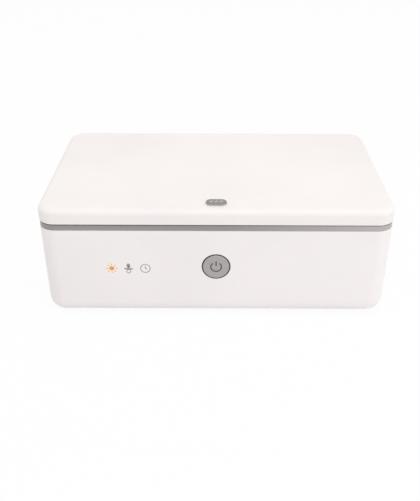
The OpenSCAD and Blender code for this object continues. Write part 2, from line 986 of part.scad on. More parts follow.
// Glass reed capsule that tells whether the lid is shut
module reed_switch() {
    color("seagreen")
        translate([reed_x, reed_y, reed_z])
            rod_x(reed_r, reed_l);
}

module reed_lead() {
    y = switch_board_y + switch_board_t / 2;
    step_z = (base_z1 + button_z + switch_board_h / 2) / 2;
    color("ivory")
        upright_lead(
            reed_x,
            [[reed_y, reed_z - reed_r - lead_t / 2], [reed_y, step_z], [y, step_z],
                [y, button_z + switch_board_h / 2 + lead_t / 2]],
            lead_t, reed_lead_w
        );
}

// Magnets pressed into the band from below
module base_magnets() {
    color("silver")
        for (x = [-1, 1])
            translate([x * magnet_x, magnet_y, 0])
                post(magnet_r, base_z1, base_z1 + magnet_t);
}

// Steel leaf with the two outer knuckles, bent down inside the tub's back wall
module tub_hinge_leaves() {
    color(steel)
        at_hinges()
            difference() {
                union() {
                    span(
                        [-hinge_l / 2, tub_leaf_y, tub_leaf_z0], [hinge_l / 2, pad_y, tub_leaf_z1]
                    );
                    for (x = [-1, 1])
                        translate([x * (hinge_l - outer_knuckle_l) / 2, 0, 0]) {
                            span(
                                [-outer_knuckle_l / 2, tub_leaf_y, tub_leaf_z1 - leaf_t],
                                [outer_knuckle_l / 2, half_d, tub_leaf_z1]
                            );
                            translate([0, half_d, hinge_z])
                                rod_x(knuckle_r, outer_knuckle_l);
                        }
                }
                translate([0, half_d, hinge_z])
                    rod_x(hinge_pin_r + screw_bite, hinge_l + 2 * over);
                for (x = [-1, 1])
                    translate([x * leaf_screw_pitch / 2, 0, tub_leaf_screw_z])
                        rod_y(screw_r + screw_pass, tub_leaf_y - over, pad_y + over);
            }
}

module tub_hinge_screws() {
    color(steel)
        at_hinges()
            for (x = [-1, 1])
                translate([x * leaf_screw_pitch / 2, tub_leaf_y, tub_leaf_screw_z])
                    rotate([90, 0, 0])
                        screw(leaf_t + short_screw_l - 0.5);
}

module hinge_pins() {
    color(steel)
        at_hinges()
            translate([0, half_d, hinge_z])
                rod_x(hinge_pin_r, hinge_l);
}

// Steel leaf with the middle knuckle, stepped up to the bosses under the lid's top
module lid_hinge_leaves() {
    color(steel)
        at_hinges()
            difference() {
                union() {
                    translate([0, half_d, hinge_z])
                        rod_x(knuckle_r, lid_knuckle_l);
                    span(
                        [-lid_knuckle_l / 2, lid_riser_y, lid_arm_z],
                        [lid_knuckle_l / 2, half_d, lid_arm_z + leaf_t]
                    );
                    span(
                        [-lid_knuckle_l / 2, lid_riser_y, lid_arm_z],
                        [lid_knuckle_l / 2, lid_riser_y + leaf_t, lid_leaf_z1]
                    );
                    span(
                        [-hinge_l / 2, lid_leaf_y, lid_leaf_z1 - leaf_t],
                        [hinge_l / 2, lid_riser_y + leaf_t, lid_leaf_z1]
                    );
                }
                translate([0, half_d, hinge_z])
                    rod_x(hinge_pin_r + pin_run, lid_knuckle_l + 2 * over);
                for (x = [-1, 1])
                    translate([x * leaf_screw_pitch / 2, lid_leaf_screw_y, 0])
                        post(
                            screw_r + screw_pass, lid_leaf_z1 - leaf_t - over, lid_leaf_z1 + over
                        );
            }
}

// Screws under the lid point up, so they are turned over
module screw_up(z, l) {
    translate([0, 0, z])
        mirror([0, 0, 1])
            screw(l);
}

module lid_hinge_screws() {
    color(steel)
        at_hinges()
            for (x = [-1, 1])
                translate([x * leaf_screw_pitch / 2, lid_leaf_screw_y, 0])
                    screw_up(lid_leaf_z1 - leaf_t, leaf_t + short_screw_l - 0.5);
}

// Outline of the status window, grown by an amount
module window_outline(grow) {
    translate([0, window_y])
        rounded(window_l + 2 * grow, window_w + 2 * grow, window_w / 2 + grow - 0.01);
}

// Boss that hangs from the inside of the lid's top, down to z
module lid_boss(r, z) {
    post(r, z, lid_in_z + root);
}

// Bore for a screw that comes up into a boss whose foot is at z
module lid_bore(z, l) {
    post(screw_r + screw_bite, z - over, min(z + l, lid_in_z + root));
}

// Moulded lid with its bosses
module lid_shell() {
    color(white)
        difference() {
            union() {
                difference() {
                    translate([0, 0, lid_z1])
                        mirror([0, 0, 1])
                            rounded_block(case_w, case_d, corner_r, lid_h, lid_edge_r);
                    translate([0, 0, lid_in_z])
                        mirror([0, 0, 1])
                            rounded_block(
                                case_w - 2 * lid_wall, case_d - 2 * lid_wall,
                                corner_r - lid_wall, lid_h, lid_edge_r - lid_wall
                            );
                }
                at_each(frame_screw_at)
                    lid_boss(post_r, frame_z1 + frame_cup_h);
                at_each(reflector_screw_at)
                    lid_boss(post_r, reflector_z1);
                at_each(lamp_screw_at)
                    lid_boss(post_r, lid_lamp_board_z + board_t);
                for (x = [-1, 1]) {
                    translate([x * status_screw_x, window_y, 0])
                        lid_boss(post_r - 0.4, status_board_z + status_board_t);
                    translate([x * magnet_x, magnet_y, 0])
                        lid_boss(magnet_r + 1.2, frame_z1 + loose);
                }
                at_hinges()
                    for (x = [-1, 1])
                        translate([x * leaf_screw_pitch / 2, lid_leaf_screw_y, 0])
                            lid_boss(post_r, lid_leaf_z1);
            }
            at_each(frame_screw_at)
                lid_bore(frame_z1 + frame_cup_h, screw_l);
            at_each(reflector_screw_at)
                lid_bore(reflector_z1, screw_l);
            at_each(lamp_screw_at)
                lid_bore(lid_lamp_board_z + board_t, short_screw_l);
            for (x = [-1, 1]) {
                translate([x * status_screw_x, window_y, 0])
                    lid_bore(status_board_z + status_board_t, screw_l);
                translate([x * magnet_x, magnet_y, 0])
                    post(magnet_r + snug, frame_z1 - over, frame_z1 + magnet_t + loose);
            }
            at_hinges() {
                for (x = [-1, 1])
                    translate([x * leaf_screw_pitch / 2, lid_leaf_screw_y, 0])
                        lid_bore(lid_leaf_z1, short_screw_l);
                span(
                    [-channel_l / 2, half_d - lid_wall - root, lid_z0 - over],
                    [channel_l / 2, half_d + over, hinge_z + knuckle_r + root]
                );
            }
            hinge_channels();
            translate([0, 0, lid_in_z - over])
                linear_extrude(lid_top_t + 2 * over)
                    window_outline(loose);
        }
}

// Moulded frame inside the lid: gasket groove, baffle and the reflector's ledge
module lid_frame() {
    color(white)
        difference() {
            union() {
                translate([0, 0, frame_z0])
                    linear_extrude(frame_t)
                        case_outline(lid_wall + root);
                translate([0, 0, frame_z0 - baffle_h])
                    linear_extrude(baffle_h + root)
                        chamber_outline(-baffle_gap);
                at_each(frame_screw_at)
                    post(frame_cup_r, frame_z0, frame_z1 + frame_cup_h);
                translate([reed_x, reed_y, 0])
                    post(sensor_magnet_r + cup_wall, frame_z0, frame_z1 + sensor_magnet_t);
            }
            translate([0, 0, frame_z0 - baffle_h - over])
                linear_extrude(baffle_h + over)
                    chamber_outline(-baffle_gap - baffle_t);
            translate([0, 0, frame_z0 - over])
                linear_extrude(frame_t + 2 * over)
                    chamber_outline(-baffle_gap - baffle_t - ledge_w);
            translate([0, 0, frame_z0 - over])
                linear_extrude(groove_t + over)
                    difference() {
                        case_outline(gasket_inset - snug);
                        case_outline(gasket_inset + gasket_w + snug);
                    }
            at_each(frame_screw_at) {
                post(screw_r + screw_pass, frame_z0, frame_z1 + frame_cup_h + over);
                post(head_r + 0.3, frame_z0 - over, frame_z1 + frame_cup_h - 1.4);
            }
            translate([reed_x, reed_y, 0])
                post(sensor_magnet_r + snug, frame_z1, frame_z1 + sensor_magnet_t + over);
            at_hinges()
                span(
                    [-lid_knuckle_l / 2 - root, lid_riser_y - root, frame_z0 - over],
                    [lid_knuckle_l / 2 + root, half_d, frame_z1 + over]
                );
            hinge_channels();
            span(
                [harness_x - harness_slot_w / 2, harness_slot_y0, frame_z0 - over],
                [harness_x + harness_slot_w / 2, harness_slot_y1, frame_z1 + over]
            );
        }
}

module lid_frame_screws() {
    color(steel)
        at_each(frame_screw_at)
            screw_up(frame_z1 + frame_cup_h - 1.4, screw_l);
}

// Silicone seal that meets the liner's flange when the lid is shut
module lid_gasket() {
    color("gainsboro")
        translate([0, 0, band_z1 + run])
            linear_extrude(frame_z0 + groove_t - band_z1 - run)
                difference() {
                    case_outline(gasket_inset);
                    case_outline(gasket_inset + gasket_w);
                }
}

// Polished plate over the frame's opening
module lid_reflector() {
    color(steel)
        difference() {
            translate([0, 0, frame_z1])
                linear_extrude(reflector_t)
                    chamber_outline(-baffle_gap - root);
            for (x = lamp_x)
                translate([x, 0, 0])
                    post(aperture_r, frame_z1 - over, reflector_z1 + over);
            at_each(reflector_screw_at)
                post(screw_r + screw_pass, frame_z1 - over, reflector_z1 + over);
        }
}

module reflector_screws() {
    color(steel)
        at_each(reflector_screw_at)
            screw_up(frame_z1, screw_l);
}

module lid_windows() {
    color(quartz)
        for (x = lamp_x)
            translate([x, 0, 0])
                post(quartz_r, reflector_z1, reflector_z1 + quartz_t);
}

module lid_led_board() {
    lamp_board(lid_lamp_board_z);
}

module lid_led_screws() {
    color(steel)
        at_each(lamp_screw_at)
            screw_up(lid_lamp_board_z, board_t + short_screw_l - 1);
}

module lid_uv_leds() {
    translate([0, 0, lid_lamp_board_z])
        mirror([0, 0, 1])
            lamp_row();
}

// Plug on the lid's lamp board, where the ribbon ends
module lid_connector() {
    color("ivory")
        span(
            [harness_x - harness_w / 2 - 1.5, lamp_board_w / 2 - 7, lid_lamp_board_z + board_t],
            [harness_x + harness_w / 2 + 1.5, lamp_board_w / 2 - 1,
                lid_lamp_board_z + board_t + harness_plug_h]
        );
}

// Smoked lens, held by a lip bonded to the inside of the lid's top
module status_window() {
    color(dark) {
        translate([0, 0, lid_in_z - window_lip_t])
            linear_extrude(lid_top_t + window_lip_t + window_proud - 0.8)
                window_outline(0);
        translate([0, 0, lid_z1 + window_proud - 0.8])
            linear_extrude(0.8)
                window_outline(-0.3);
        translate([0, 0, lid_in_z - window_lip_t])
            linear_extrude(window_lip_t)
                window_outline(window_lip);
    }
}

module status_leds() {
    color("lavender")
        for (i = [-1, 0, 1])
            translate([i * light_pitch, window_y, status_board_z + status_board_t + light_h / 2])
                cube([light_w, light_w * 1.6, light_h], center = true);
}

module status_board() {
    color(board_green)
        difference() {
            translate([0, window_y, status_board_z])
                linear_extrude(status_board_t)
                    square([status_board_l, status_board_w], center = true);
            for (x = [-1, 1])
                translate([x * status_screw_x, window_y, 0])
                    post(
                        screw_r + screw_pass, status_board_z - over,
                        status_board_z + status_board_t + over
                    );
        }
}

module status_screws() {
    color(steel)
        for (x = [-1, 1])
            translate([x * status_screw_x, window_y, 0])
                screw_up(status_board_z, status_board_t + short_screw_l - 0.5);
}

// Lead between the status board and the lid's lamp board
module status_lead() {
    y = window_y + status_board_w / 2;
    z0 = status_board_z + status_board_t / 2;
    z1 = lid_lamp_board_z + board_t / 2;
    color("ivory")
        upright_lead(
            status_lead_x,
            [[y + lead_t / 2, z0], [y + lead_bend, z0], [y + lead_bend, z1],
                [-lamp_board_w / 2 - lead_t / 2, z1]],
            lead_t, status_lead_w
        );
}

module lid_magnets() {
    color("silver")
        for (x = [-1, 1])
            translate([x * magnet_x, magnet_y, 0])
                post(magnet_r, frame_z1, frame_z1 + magnet_t);
}

module sensor_magnet() {
    color("silver")
        translate([reed_x, reed_y, 0])
            post(sensor_magnet_r, frame_z1, frame_z1 + sensor_magnet_t);
}

// Ribbon from the control board up through band and frame to the lid's lamp board
module lid_harness() {
    color("gray")
        upright_lead(
            harness_x,
            [[board_y1 + harness_t / 2, plug_lead_z], [harness_y, plug_lead_z],
                [harness_y, harness_top_z], [lamp_board_w / 2 - 1 + harness_t / 2, harness_top_z]],
            harness_t, harness_w
        );
}

// Straight wire between two points
module wire(a, b, r) {
    v = b - a;
    l = norm(v);
    translate(a)
        rotate([0, acos(v[2] / l), atan2(v[1], v[0])])
            cylinder(r = r, h = l);
}

// Chromed wire tray that things to be sterilised lie on
module wire_rack() {
    x = rack_w / 2;
    y = rack_d / 2;
    color("silver") {
        for (s = [-1, 1]) {
            wire([-x + rack_r, s * y, rim_z], [x - rack_r, s * y, rim_z], rim_wire_r);
            wire([s * x, -y + rack_r, rim_z], [s * x, y - rack_r, rim_z], rim_wire_r);
        }
        for (s = [-1, 1], t = [-1, 1])
            translate([s * (x - rack_r), t * (y - rack_r), rim_z])
                rotate([0, 0, atan2(t, s) - 45])
                    rotate_extrude(angle = 90)
                        translate([rack_r, 0])
                            circle(rim_wire_r);
        for (i = [0:cross_wire_count - 1])
            translate([(i - (cross_wire_count - 1) / 2) * cross_pitch, 0, cross_z])
                rod_y(cross_wire_r, -y - rim_wire_r * 0.6, y + rim_wire_r * 0.6);
        for (s = [-1, 1], t = [-1, 1])
            translate([s * leg_x, t * y, 0])
                post(rim_wire_r * 0.9, chamber_floor_z + rack_foot_wall, rim_z);
    }
}

// Wire loops welded on the rim's two ends, by which the rack is lifted out
module rack_loops() {
    bend = loop_wire_r * 3;
    color("silver")
        for (s = [-1, 1])
            translate([s * rack_w / 2, 0, rim_z])
                difference() {
                    union() {
                        for (t = [-1, 1]) {
                            translate([0, t * loop_w / 2, 0])
                                post(loop_wire_r, 0, loop_h - bend);
                            translate([0, t * (loop_w / 2 - bend), loop_h - bend])
                                rotate([90, 0, 90 * t])
                                    rotate_extrude(angle = 90)
                                        translate([bend, 0])
                                            circle(loop_wire_r);
                        }
                        translate([0, 0, loop_h])
                            rod_y(loop_wire_r, -loop_w / 2 + bend, loop_w / 2 - bend);
                    }
                    rod_y(rim_wire_r, -loop_w, loop_w);
                }
}

// Silicone caps on the rack's legs
module rack_feet() {
    color("gainsboro")
        for (s = [-1, 1], t = [-1, 1])
            translate([s * leg_x, t * rack_d / 2, 0])
                difference() {
                    post(rack_foot_r, chamber_floor_z, chamber_floor_z + rack_foot_h);
                    post(
                        rim_wire_r * 0.9 + screw_bite, chamber_floor_z + rack_foot_wall,
                        chamber_floor_z + rack_foot_h + over
                    );
                }
}

base_shell();
rubber_feet();
trim_band();
chamber_liner();
liner_screws();
base_windows();
base_led_board();
base_led_screws();
base_uv_leds();
base_led_lead();
main_board();
main_board_screws();
main_board_chips();
main_board_capacitors();
main_board_connectors();
dc_inlet();
inlet_nut();
inlet_lead();
button_bezel();
power_button();
switch_plunger();
switch_body();
switch_board();
switch_screws();
switch_lead();
reed_switch();
reed_lead();
base_magnets();
tub_hinge_leaves();
tub_hinge_screws();
hinge_pins();
lid_hinge_leaves();
lid_hinge_screws();
lid_shell();
lid_frame();
lid_frame_screws();
lid_gasket();
lid_reflector();
reflector_screws();
lid_windows();
lid_led_board();
lid_led_screws();
lid_uv_leds();
lid_connector();
status_window();
status_leds();
status_board();
status_screws();
status_lead();
lid_magnets();
sensor_magnet();
lid_harness();
wire_rack();
rack_loops();
rack_feet();
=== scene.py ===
# A household UV-C sterilizer case for pacifiers and other small baby things.
# Lengths are in millimetres until a piece is finished, when its mesh is scaled to metres.
# X runs to the right as the front is faced, Y to the back and Z up from the table.

import math

import bmesh
import bpy
from mathutils import Matrix, Vector


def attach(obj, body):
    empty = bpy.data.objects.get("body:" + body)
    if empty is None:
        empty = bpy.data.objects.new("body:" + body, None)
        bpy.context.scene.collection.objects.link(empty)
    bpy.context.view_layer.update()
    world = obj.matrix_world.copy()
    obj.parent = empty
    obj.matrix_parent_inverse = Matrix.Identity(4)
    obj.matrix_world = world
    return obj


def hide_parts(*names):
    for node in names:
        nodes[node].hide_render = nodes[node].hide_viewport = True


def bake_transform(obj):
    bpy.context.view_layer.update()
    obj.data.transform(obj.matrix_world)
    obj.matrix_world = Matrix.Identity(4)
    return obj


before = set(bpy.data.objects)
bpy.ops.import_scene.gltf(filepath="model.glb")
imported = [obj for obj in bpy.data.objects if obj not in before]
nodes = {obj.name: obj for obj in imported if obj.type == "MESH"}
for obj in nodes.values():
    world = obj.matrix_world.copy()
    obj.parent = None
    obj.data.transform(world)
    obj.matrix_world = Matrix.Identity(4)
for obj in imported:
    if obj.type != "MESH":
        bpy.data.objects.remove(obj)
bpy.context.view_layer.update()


# The picture: camera, white sweep and studio lamps
# The photograph looks down at the front from a little over half a metre. The room is white all
# round, with one large soft lamp above the front and a smaller one to the right.

camera = bpy.data.objects.new("camera", bpy.data.cameras.new("camera"))
camera.data.lens = 48.35
camera.data.sensor_width = 36
camera.data.shift_x = -0.01225
camera.data.clip_start = 0.01
camera.location = (0, -0.5764, 0.3642)
look_down = Matrix.Rotation(math.radians(90 - 31.21), 4, "X")
camera.rotation_euler = (look_down @ Matrix.Rotation(math.radians(0.194), 4, "Z")).to_euler()
bpy.context.collection.objects.link(camera)
bpy.context.scene.camera = camera
bpy.context.scene.view_settings.view_transform = "Standard"


class Signal:
    """A value or colour that varies over a surface. Arithmetic on it adds Math nodes."""

    def __init__(self, finish, socket):
        self.finish = finish
        self.socket = socket

    def math(self, operation, first, second):
        return self.finish.node("ShaderNodeMath", {"operation": operation}, {0: first, 1: second})

    def __add__(self, other):
        return self.math("ADD", self, other)

    def __sub__(self, other):
        return self.math("SUBTRACT", self, other)

    def __rsub__(self, other):
        return self.math("SUBTRACT", other, self)

    def __mul__(self, other):
        return self.math("MULTIPLY", self, other)


class Recipe:
    """A tree of nodes, added by type with their settings and the values of their sockets."""

    def __init__(self, tree):
        self.nodes = tree.nodes
        self.links = tree.links

    def node(self, kind, settings=None, inputs=None, output=0):
        made = self.nodes.new(kind)
        for key, value in (settings or {}).items():
            setattr(made, key, value)
        self.feed(made, inputs or {})
        return Signal(self, made.outputs[output])

    def feed(self, node, inputs):
        for key, value in inputs.items():
            if isinstance(value, Signal):
                self.links.new(value.socket, node.inputs[key])
            else:
                node.inputs[key].default_value = value

    def shown_rays(self):
        """1 where the room is seen: straight, in metal or through glass, and 0 where it lights."""
        return (
            self.node("ShaderNodeLightPath", output="Is Camera Ray")
            + self.node("ShaderNodeLightPath", output="Is Glossy Ray")
            + self.node("ShaderNodeLightPath", output="Is Transmission Ray")
        )


class Finish(Recipe):
    """A material made of a shader and what varies over the surface."""

    def __init__(self, name):
        self.material = bpy.data.materials.new(name)
        self.material.use_nodes = True
        super().__init__(self.material.node_tree)
        self.shader = self.nodes["Principled BSDF"]

    def set(self, **inputs):
        self.feed(self.shader, {key.replace("_", " "): value for key, value in inputs.items()})

    def along(self, axis):
        """How far a point lies along one axis of the case, in metres."""
        where = self.node("ShaderNodeTexCoord", output="Object")
        return self.node("ShaderNodeSeparateXYZ", {}, {"Vector": where}, output=axis)

    def place(self, scale, move=(0, 0, 0)):
        """Object coordinates, scaled by one number or one for each axis, and shifted."""
        scale = scale if isinstance(scale, tuple) else (scale, scale, scale)
        where = self.node("ShaderNodeTexCoord", output="Object")
        return self.node(
            "ShaderNodeMapping", {"vector_type": "TEXTURE"},
            {"Vector": where, "Location": move, "Scale": tuple(1 / s for s in scale)},
        )

    def noise(self, scale, detail=3.0, roughness=0.5):
        """Cloudy pattern, the finer the larger its scale."""
        return self.node(
            "ShaderNodeTexNoise", {"noise_dimensions": "3D"},
            {"Vector": self.place(scale), "Scale": 1.0, "Detail": detail,
             "Roughness": roughness},
        )

    def spread(self, value, low, high, out_low, out_high):
        """Value from low to high turned into out_low to out_high, and held there beyond."""
        return self.node(
            "ShaderNodeMapRange", {"clamp": True},
            {"Value": value, "From Min": low, "From Max": high,
             "To Min": out_low, "To Max": out_high},
        )

    def blend(self, factor, first, second):
        """Colour between two colours or coloured signals. Sockets 6, 7 and 2 are the colours."""
        return self.node(
            "ShaderNodeMix", {"data_type": "RGBA"}, {0: factor, 6: first, 7: second}, output=2
        )

    def bump(self, height, strength, distance=0.0001):
        return self.node(
            "ShaderNodeBump", {}, {"Height": height, "Strength": strength, "Distance": distance}
        )

    def rims(self, low=0.52, high=0.6):
        """1 on convex edges and 0 on open surfaces."""
        bend = self.node("ShaderNodeNewGeometry", output="Pointiness")
        return self.spread(bend, low, high, 0.0, 1.0)


def tint(colour, factor=1.0):
    return (*(min(1.0, c * factor) for c in colour[:3]), 1.0)


floor_mesh = bmesh.new()
bmesh.ops.create_grid(floor_mesh, x_segments=1, y_segments=1, size=4.0)
floor_data = bpy.data.meshes.new("floor")
floor_mesh.to_mesh(floor_data)
floor = bpy.data.objects.new("floor", floor_data)
bpy.context.collection.objects.link(floor)

paper = Finish("white_paper")
paper.set(Base_Color=(0.86, 0.875, 0.885, 1), Roughness=0.9)
lit_paper = Signal(paper, paper.shader.outputs[0])
glow = paper.node("ShaderNodeEmission", {}, {"Color": (1, 1, 1, 1), "Strength": 1.0})
shown = paper.spread(paper.shown_rays(), 0.0, 1.0, 0.0, 0.94)
paper_light = paper.node("ShaderNodeMixShader", {}, {0: shown, 1: lit_paper, 2: glow})
paper.feed(paper.nodes["Material Output"], {"Surface": paper_light})
floor_data.materials.append(paper.material)

world = bpy.data.worlds.new("studio")
bpy.context.scene.world = world
world.use_nodes = True
room = Recipe(world.node_tree)
walls = room.node(
    "ShaderNodeBackground", {}, {"Color": (1.0, 0.985, 0.98, 1), "Strength": 0.80}
)
white = room.node("ShaderNodeBackground", {}, {"Color": (1, 1, 1, 1), "Strength": 1.0})
room_light = room.node("ShaderNodeMixShader", {}, {0: room.shown_rays(), 1: walls, 2: white})
room.feed(room.nodes["World Output"], {"Surface": room_light})


def soft_lamp(name, place, aim, size, watts, colour=(1, 1, 1)):
    lamp = bpy.data.objects.new(name, bpy.data.lights.new(name, "AREA"))
    lamp.data.shape = "RECTANGLE"
    lamp.data.size, lamp.data.size_y = size
    lamp.data.energy = watts
    lamp.data.color = colour
    lamp.location = place
    lamp.rotation_euler = (Vector(place) - Vector(aim)).to_track_quat("Z", "Y").to_euler()
    bpy.context.collection.objects.link(lamp)


soft_lamp("lamp_over_front", (0.1, -0.47, 1.5), (0, 0, 0.05), (1.4, 1.0), 6.6, (1.0, 0.94, 0.88))
soft_lamp("lamp_right", (1.3, -0.9, 0.7), (0, 0, 0.05), (0.9, 0.9), 3.6)


# Tub
# The tub is one injection moulding in white ABS with a fine satin surface. Its foot edge is
# rounded all round, and vent slots in the floor let the control board's heat out.

case_w, case_d, corner = 300.0, 176.0, 15.0
half_w, half_d = case_w / 2, case_d / 2
tub_low, tub_high, tub_wall, tub_round = 1.5, 87.0, 2.8, 13.0
snug, root = 0.05, 0.5


def round_edges(mesh, edges, radius, steps=3):
    bmesh.ops.bevel(
        mesh, geom=edges, offset=radius, segments=steps, profile=0.5, affect="EDGES", material=-1
    )


def level_edges(mesh, level):
    return [e for e in mesh.edges if all(abs(v.co.z - level) < 1e-4 for v in e.verts)]


def rounded_block(width, depth, radius, low, high, foot=0.0, top=0.0, steps=12, rim_steps=8):
    """Closed block over the origin: round upright corners, and a round foot or top edge."""
    mesh = bmesh.new()
    bmesh.ops.create_cube(mesh, size=1.0)
    bmesh.ops.scale(mesh, vec=(width, depth, high - low), verts=mesh.verts)
    bmesh.ops.translate(mesh, vec=(0, 0, (low + high) / 2), verts=mesh.verts)
    upright = [e for e in mesh.edges if abs(e.verts[0].co.z - e.verts[1].co.z) > 0.01]
    round_edges(mesh, upright, radius, steps)
    for level, edge in ((low, foot), (high, top)):
        if edge:
            round_edges(mesh, level_edges(mesh, level), edge, rim_steps)
    return mesh


def block(low, high, edge=0.0, steps=2):
    """Block between two corners, its edges rounded."""
    low, high = Vector(low), Vector(high)
    mesh = bmesh.new()
    bmesh.ops.create_cube(mesh, size=1.0)
    bmesh.ops.scale(mesh, vec=high - low, verts=mesh.verts)
    bmesh.ops.translate(mesh, vec=(low + high) / 2, verts=mesh.verts)
    if edge:
        round_edges(mesh, mesh.edges[:], edge, steps)
    return mesh


def rod(radius, start, end, steps=48, edge=0.0):
    """Cylinder between two points, its two ends rounded."""
    start, end = Vector(start), Vector(end)
    mesh = bmesh.new()
    bmesh.ops.create_cone(
        mesh, cap_ends=True, segments=steps, radius1=radius, radius2=radius,
        depth=(end - start).length,
    )
    if edge:
        ends = [e for f in mesh.faces if len(f.verts) > 4 for e in f.edges]
        round_edges(mesh, ends, edge, 2)
    turn = Vector((0, 0, 1)).rotation_difference(end - start).to_matrix()
    bmesh.ops.rotate(mesh, matrix=turn, verts=mesh.verts)
    bmesh.ops.translate(mesh, vec=(start + end) / 2, verts=mesh.verts)
    return mesh


def uprights(radius, places, low, high, steps=24, edge=0.0):
    """Upright rods, one at each place as (x, y)."""
    return [rod(radius, (x, y, low), (x, y, high), steps, edge) for x, y in places]


def corners(x, y):
    """Four places that lie x and y from the middle."""
    return [(i * x, j * y) for i in (-1, 1) for j in (-1, 1)]


def as_object(mesh, name):
    data = bpy.data.meshes.new(name)
    mesh.to_mesh(data)
    mesh.free()
    made = bpy.data.objects.new(name, data)
    bpy.context.collection.objects.link(made)
    return made


def gather(meshes):
    """Several meshes as one."""
    whole = bmesh.new()
    for mesh in meshes:
        data = bpy.data.meshes.new("part")
        mesh.to_mesh(data)
        mesh.free()
        whole.from_mesh(data)
        bpy.data.meshes.remove(data)
    return whole


def carve(mesh, tools, operation="DIFFERENCE"):
    """Cuts the tools out of the mesh, or adds them to it, as a mould maker's solids do."""
    blank = as_object(mesh, "blank")
    tool = as_object(gather(tools), "tool")
    step = blank.modifiers.new("carve", "BOOLEAN")
    step.operation = operation
    step.solver = "EXACT"
    step.use_self = operation == "UNION" or len(tools) > 1
    step.object = tool
    graph = bpy.context.evaluated_depsgraph_get()
    data = bpy.data.meshes.new_from_object(blank.evaluated_get(graph))
    result = bmesh.new()
    result.from_mesh(data)
    for made in (blank, tool):
        old = made.data
        bpy.data.objects.remove(made)
        bpy.data.meshes.remove(old)
    bpy.data.meshes.remove(data)
    return result


def finished(name, mesh, body, finish, replaces=(), edge=0.0, smooth=40, steps=2):
    """Turns a mesh into a finished piece in metres that rides on its body."""
    bmesh.ops.remove_doubles(mesh, verts=mesh.verts, dist=1e-4)
    bmesh.ops.scale(mesh, vec=(0.001, 0.001, 0.001), verts=mesh.verts)
    bmesh.ops.recalc_face_normals(mesh, faces=mesh.faces)
    piece = as_object(mesh, name)
    piece.data.shade_smooth()
    piece.data.set_sharp_from_angle(angle=math.radians(smooth))
    if edge:
        rounding = piece.modifiers.new("rounding", "BEVEL")
        rounding.width = edge * 0.001
        rounding.segments = steps
        rounding.limit_method = "ANGLE"
        rounding.angle_limit = math.radians(smooth)
        rounding.harden_normals = False
    shading = piece.modifiers.new("shading", "WEIGHTED_NORMAL")
    shading.keep_sharp = not edge
    shading.weight = 60
    piece.data.materials.append(finish.material)
    if replaces:
        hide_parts(*replaces)
    if body:
        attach(piece, body)
    return piece


def moulded(name, colour, roughness=0.32, grain=0.35, spread=0.025):
    """Moulded plastic: spark-eroded grain, faint flow shading, fingertip dullness, rubbed rims."""
    finish = Finish(name)
    cloud = finish.noise(9)
    handled = finish.noise(32, 4.0, 0.6)
    texture = finish.noise(2600, 2.0)
    worn = finish.rims() * finish.spread(handled, 0.45, 0.62, 0.0, 1.0)
    shade = finish.blend(
        finish.spread(cloud, 0.3, 0.7, 0.0, 1.0), tint(colour, 1 - spread), tint(colour, 1 + spread)
    )
    shade = finish.blend(worn * 0.25, shade, tint(colour, 1.05))
    finish.set(
        Base_Color=shade,
        Roughness=finish.spread(handled, 0.3, 0.7, roughness - 0.05, roughness + 0.06)
        - worn * 0.08,
        Normal=finish.bump(texture, grain, 0.00002),
    )
    return finish


white_shell = moulded("white_abs", (0.879, 0.851, 0.847), 0.42)
white_shell.shader.inputs["Specular IOR Level"].default_value = 0.25

foot_r, foot_inset, recess_top = 7.0, 27.0, 2.1
foot_places = corners(half_w - foot_inset, half_d - foot_inset)
inlet_x, inlet_z, inlet_r = 96.0, 24.0, 5.5
button_z, sleeve_r = 52.0, 12.3
switch_post_xs, switch_board_y = (-18, 18), -75.1
hinge_xs, hinge_l, hinge_play = (-95, 95), 38.0, 0.5
chamber_w, chamber_d, floor_z, sheet, screw_inset = 264.0, 140.0, 26.0, 0.6, 17
liner_screws_at = corners(chamber_w / 2 - screw_inset, chamber_d / 2 - screw_inset)
board_screws_at = [(x, y) for x in (-7.5, 103.5) for y in (22.5, 61.5)]
lamp_screws_at = [(x, 0) for x in (-104, 0, 104)]
post_r, liner_post_r, board_low, lamp_board_low = 3.2, 3.8, 8.3, 19.0

tub_floor = tub_low + tub_wall
back_inside = half_d - tub_wall
tub = rounded_block(case_w, case_d, corner, tub_low, tub_high, foot=tub_round)
hollow = rounded_block(
    case_w - 2 * tub_wall, case_d - 2 * tub_wall, corner - tub_wall, tub_floor, 95,
    foot=tub_round - tub_wall,
)
tub = carve(tub, [hollow])

grown = uprights(liner_post_r, liner_screws_at, tub_floor - root, floor_z - sheet)
grown += uprights(post_r, board_screws_at, tub_floor - root, board_low)
grown += uprights(post_r, lamp_screws_at, tub_floor - root, lamp_board_low)
grown += [
    rod(post_r, (x, -back_inside - root, button_z), (x, switch_board_y, button_z), 24)
    for x in switch_post_xs
]
pad_face, pad_low, pad_high = 81.1, 70.85, 82.5
grown += [
    block((x - hinge_l / 2, pad_face, pad_low), (x + hinge_l / 2, back_inside + root, pad_high))
    for x in hinge_xs
]
tub = carve(tub, grown, "UNION")

vent_x, vent_y, vent_pitch, vent_w, vent_l = 48.0, 42.0, 8.0, 2.4, 30.0
openings = []
for i in range(-3, 4):
    x = vent_x + i * vent_pitch
    openings.append(block(
        (x - vent_w / 2, vent_y - vent_l / 2, 0), (x + vent_w / 2, vent_y + vent_l / 2, 6),
        edge=1.1, steps=4,
    ))
openings += uprights(foot_r + snug, foot_places, 0, recess_top, 48)
openings += [
    rod(inlet_r + snug, (inlet_x, 80, inlet_z), (inlet_x, 90, inlet_z)),
    rod(sleeve_r + snug, (0, -90, button_z), (0, -80, button_z), 96),
]
tub = carve(tub, openings)
finished("tub", tub, "base", white_shell, ["base_shell"], edge=0.3)


# Printed signs on the front
# Three plain pictograms are pad printed on the tub in ink a few hundredths of a millimetre thick:
# a lamp that shines, a pacifier and a clock. They say what the case is for, without words.

front_y, ink = -half_d, 0.03


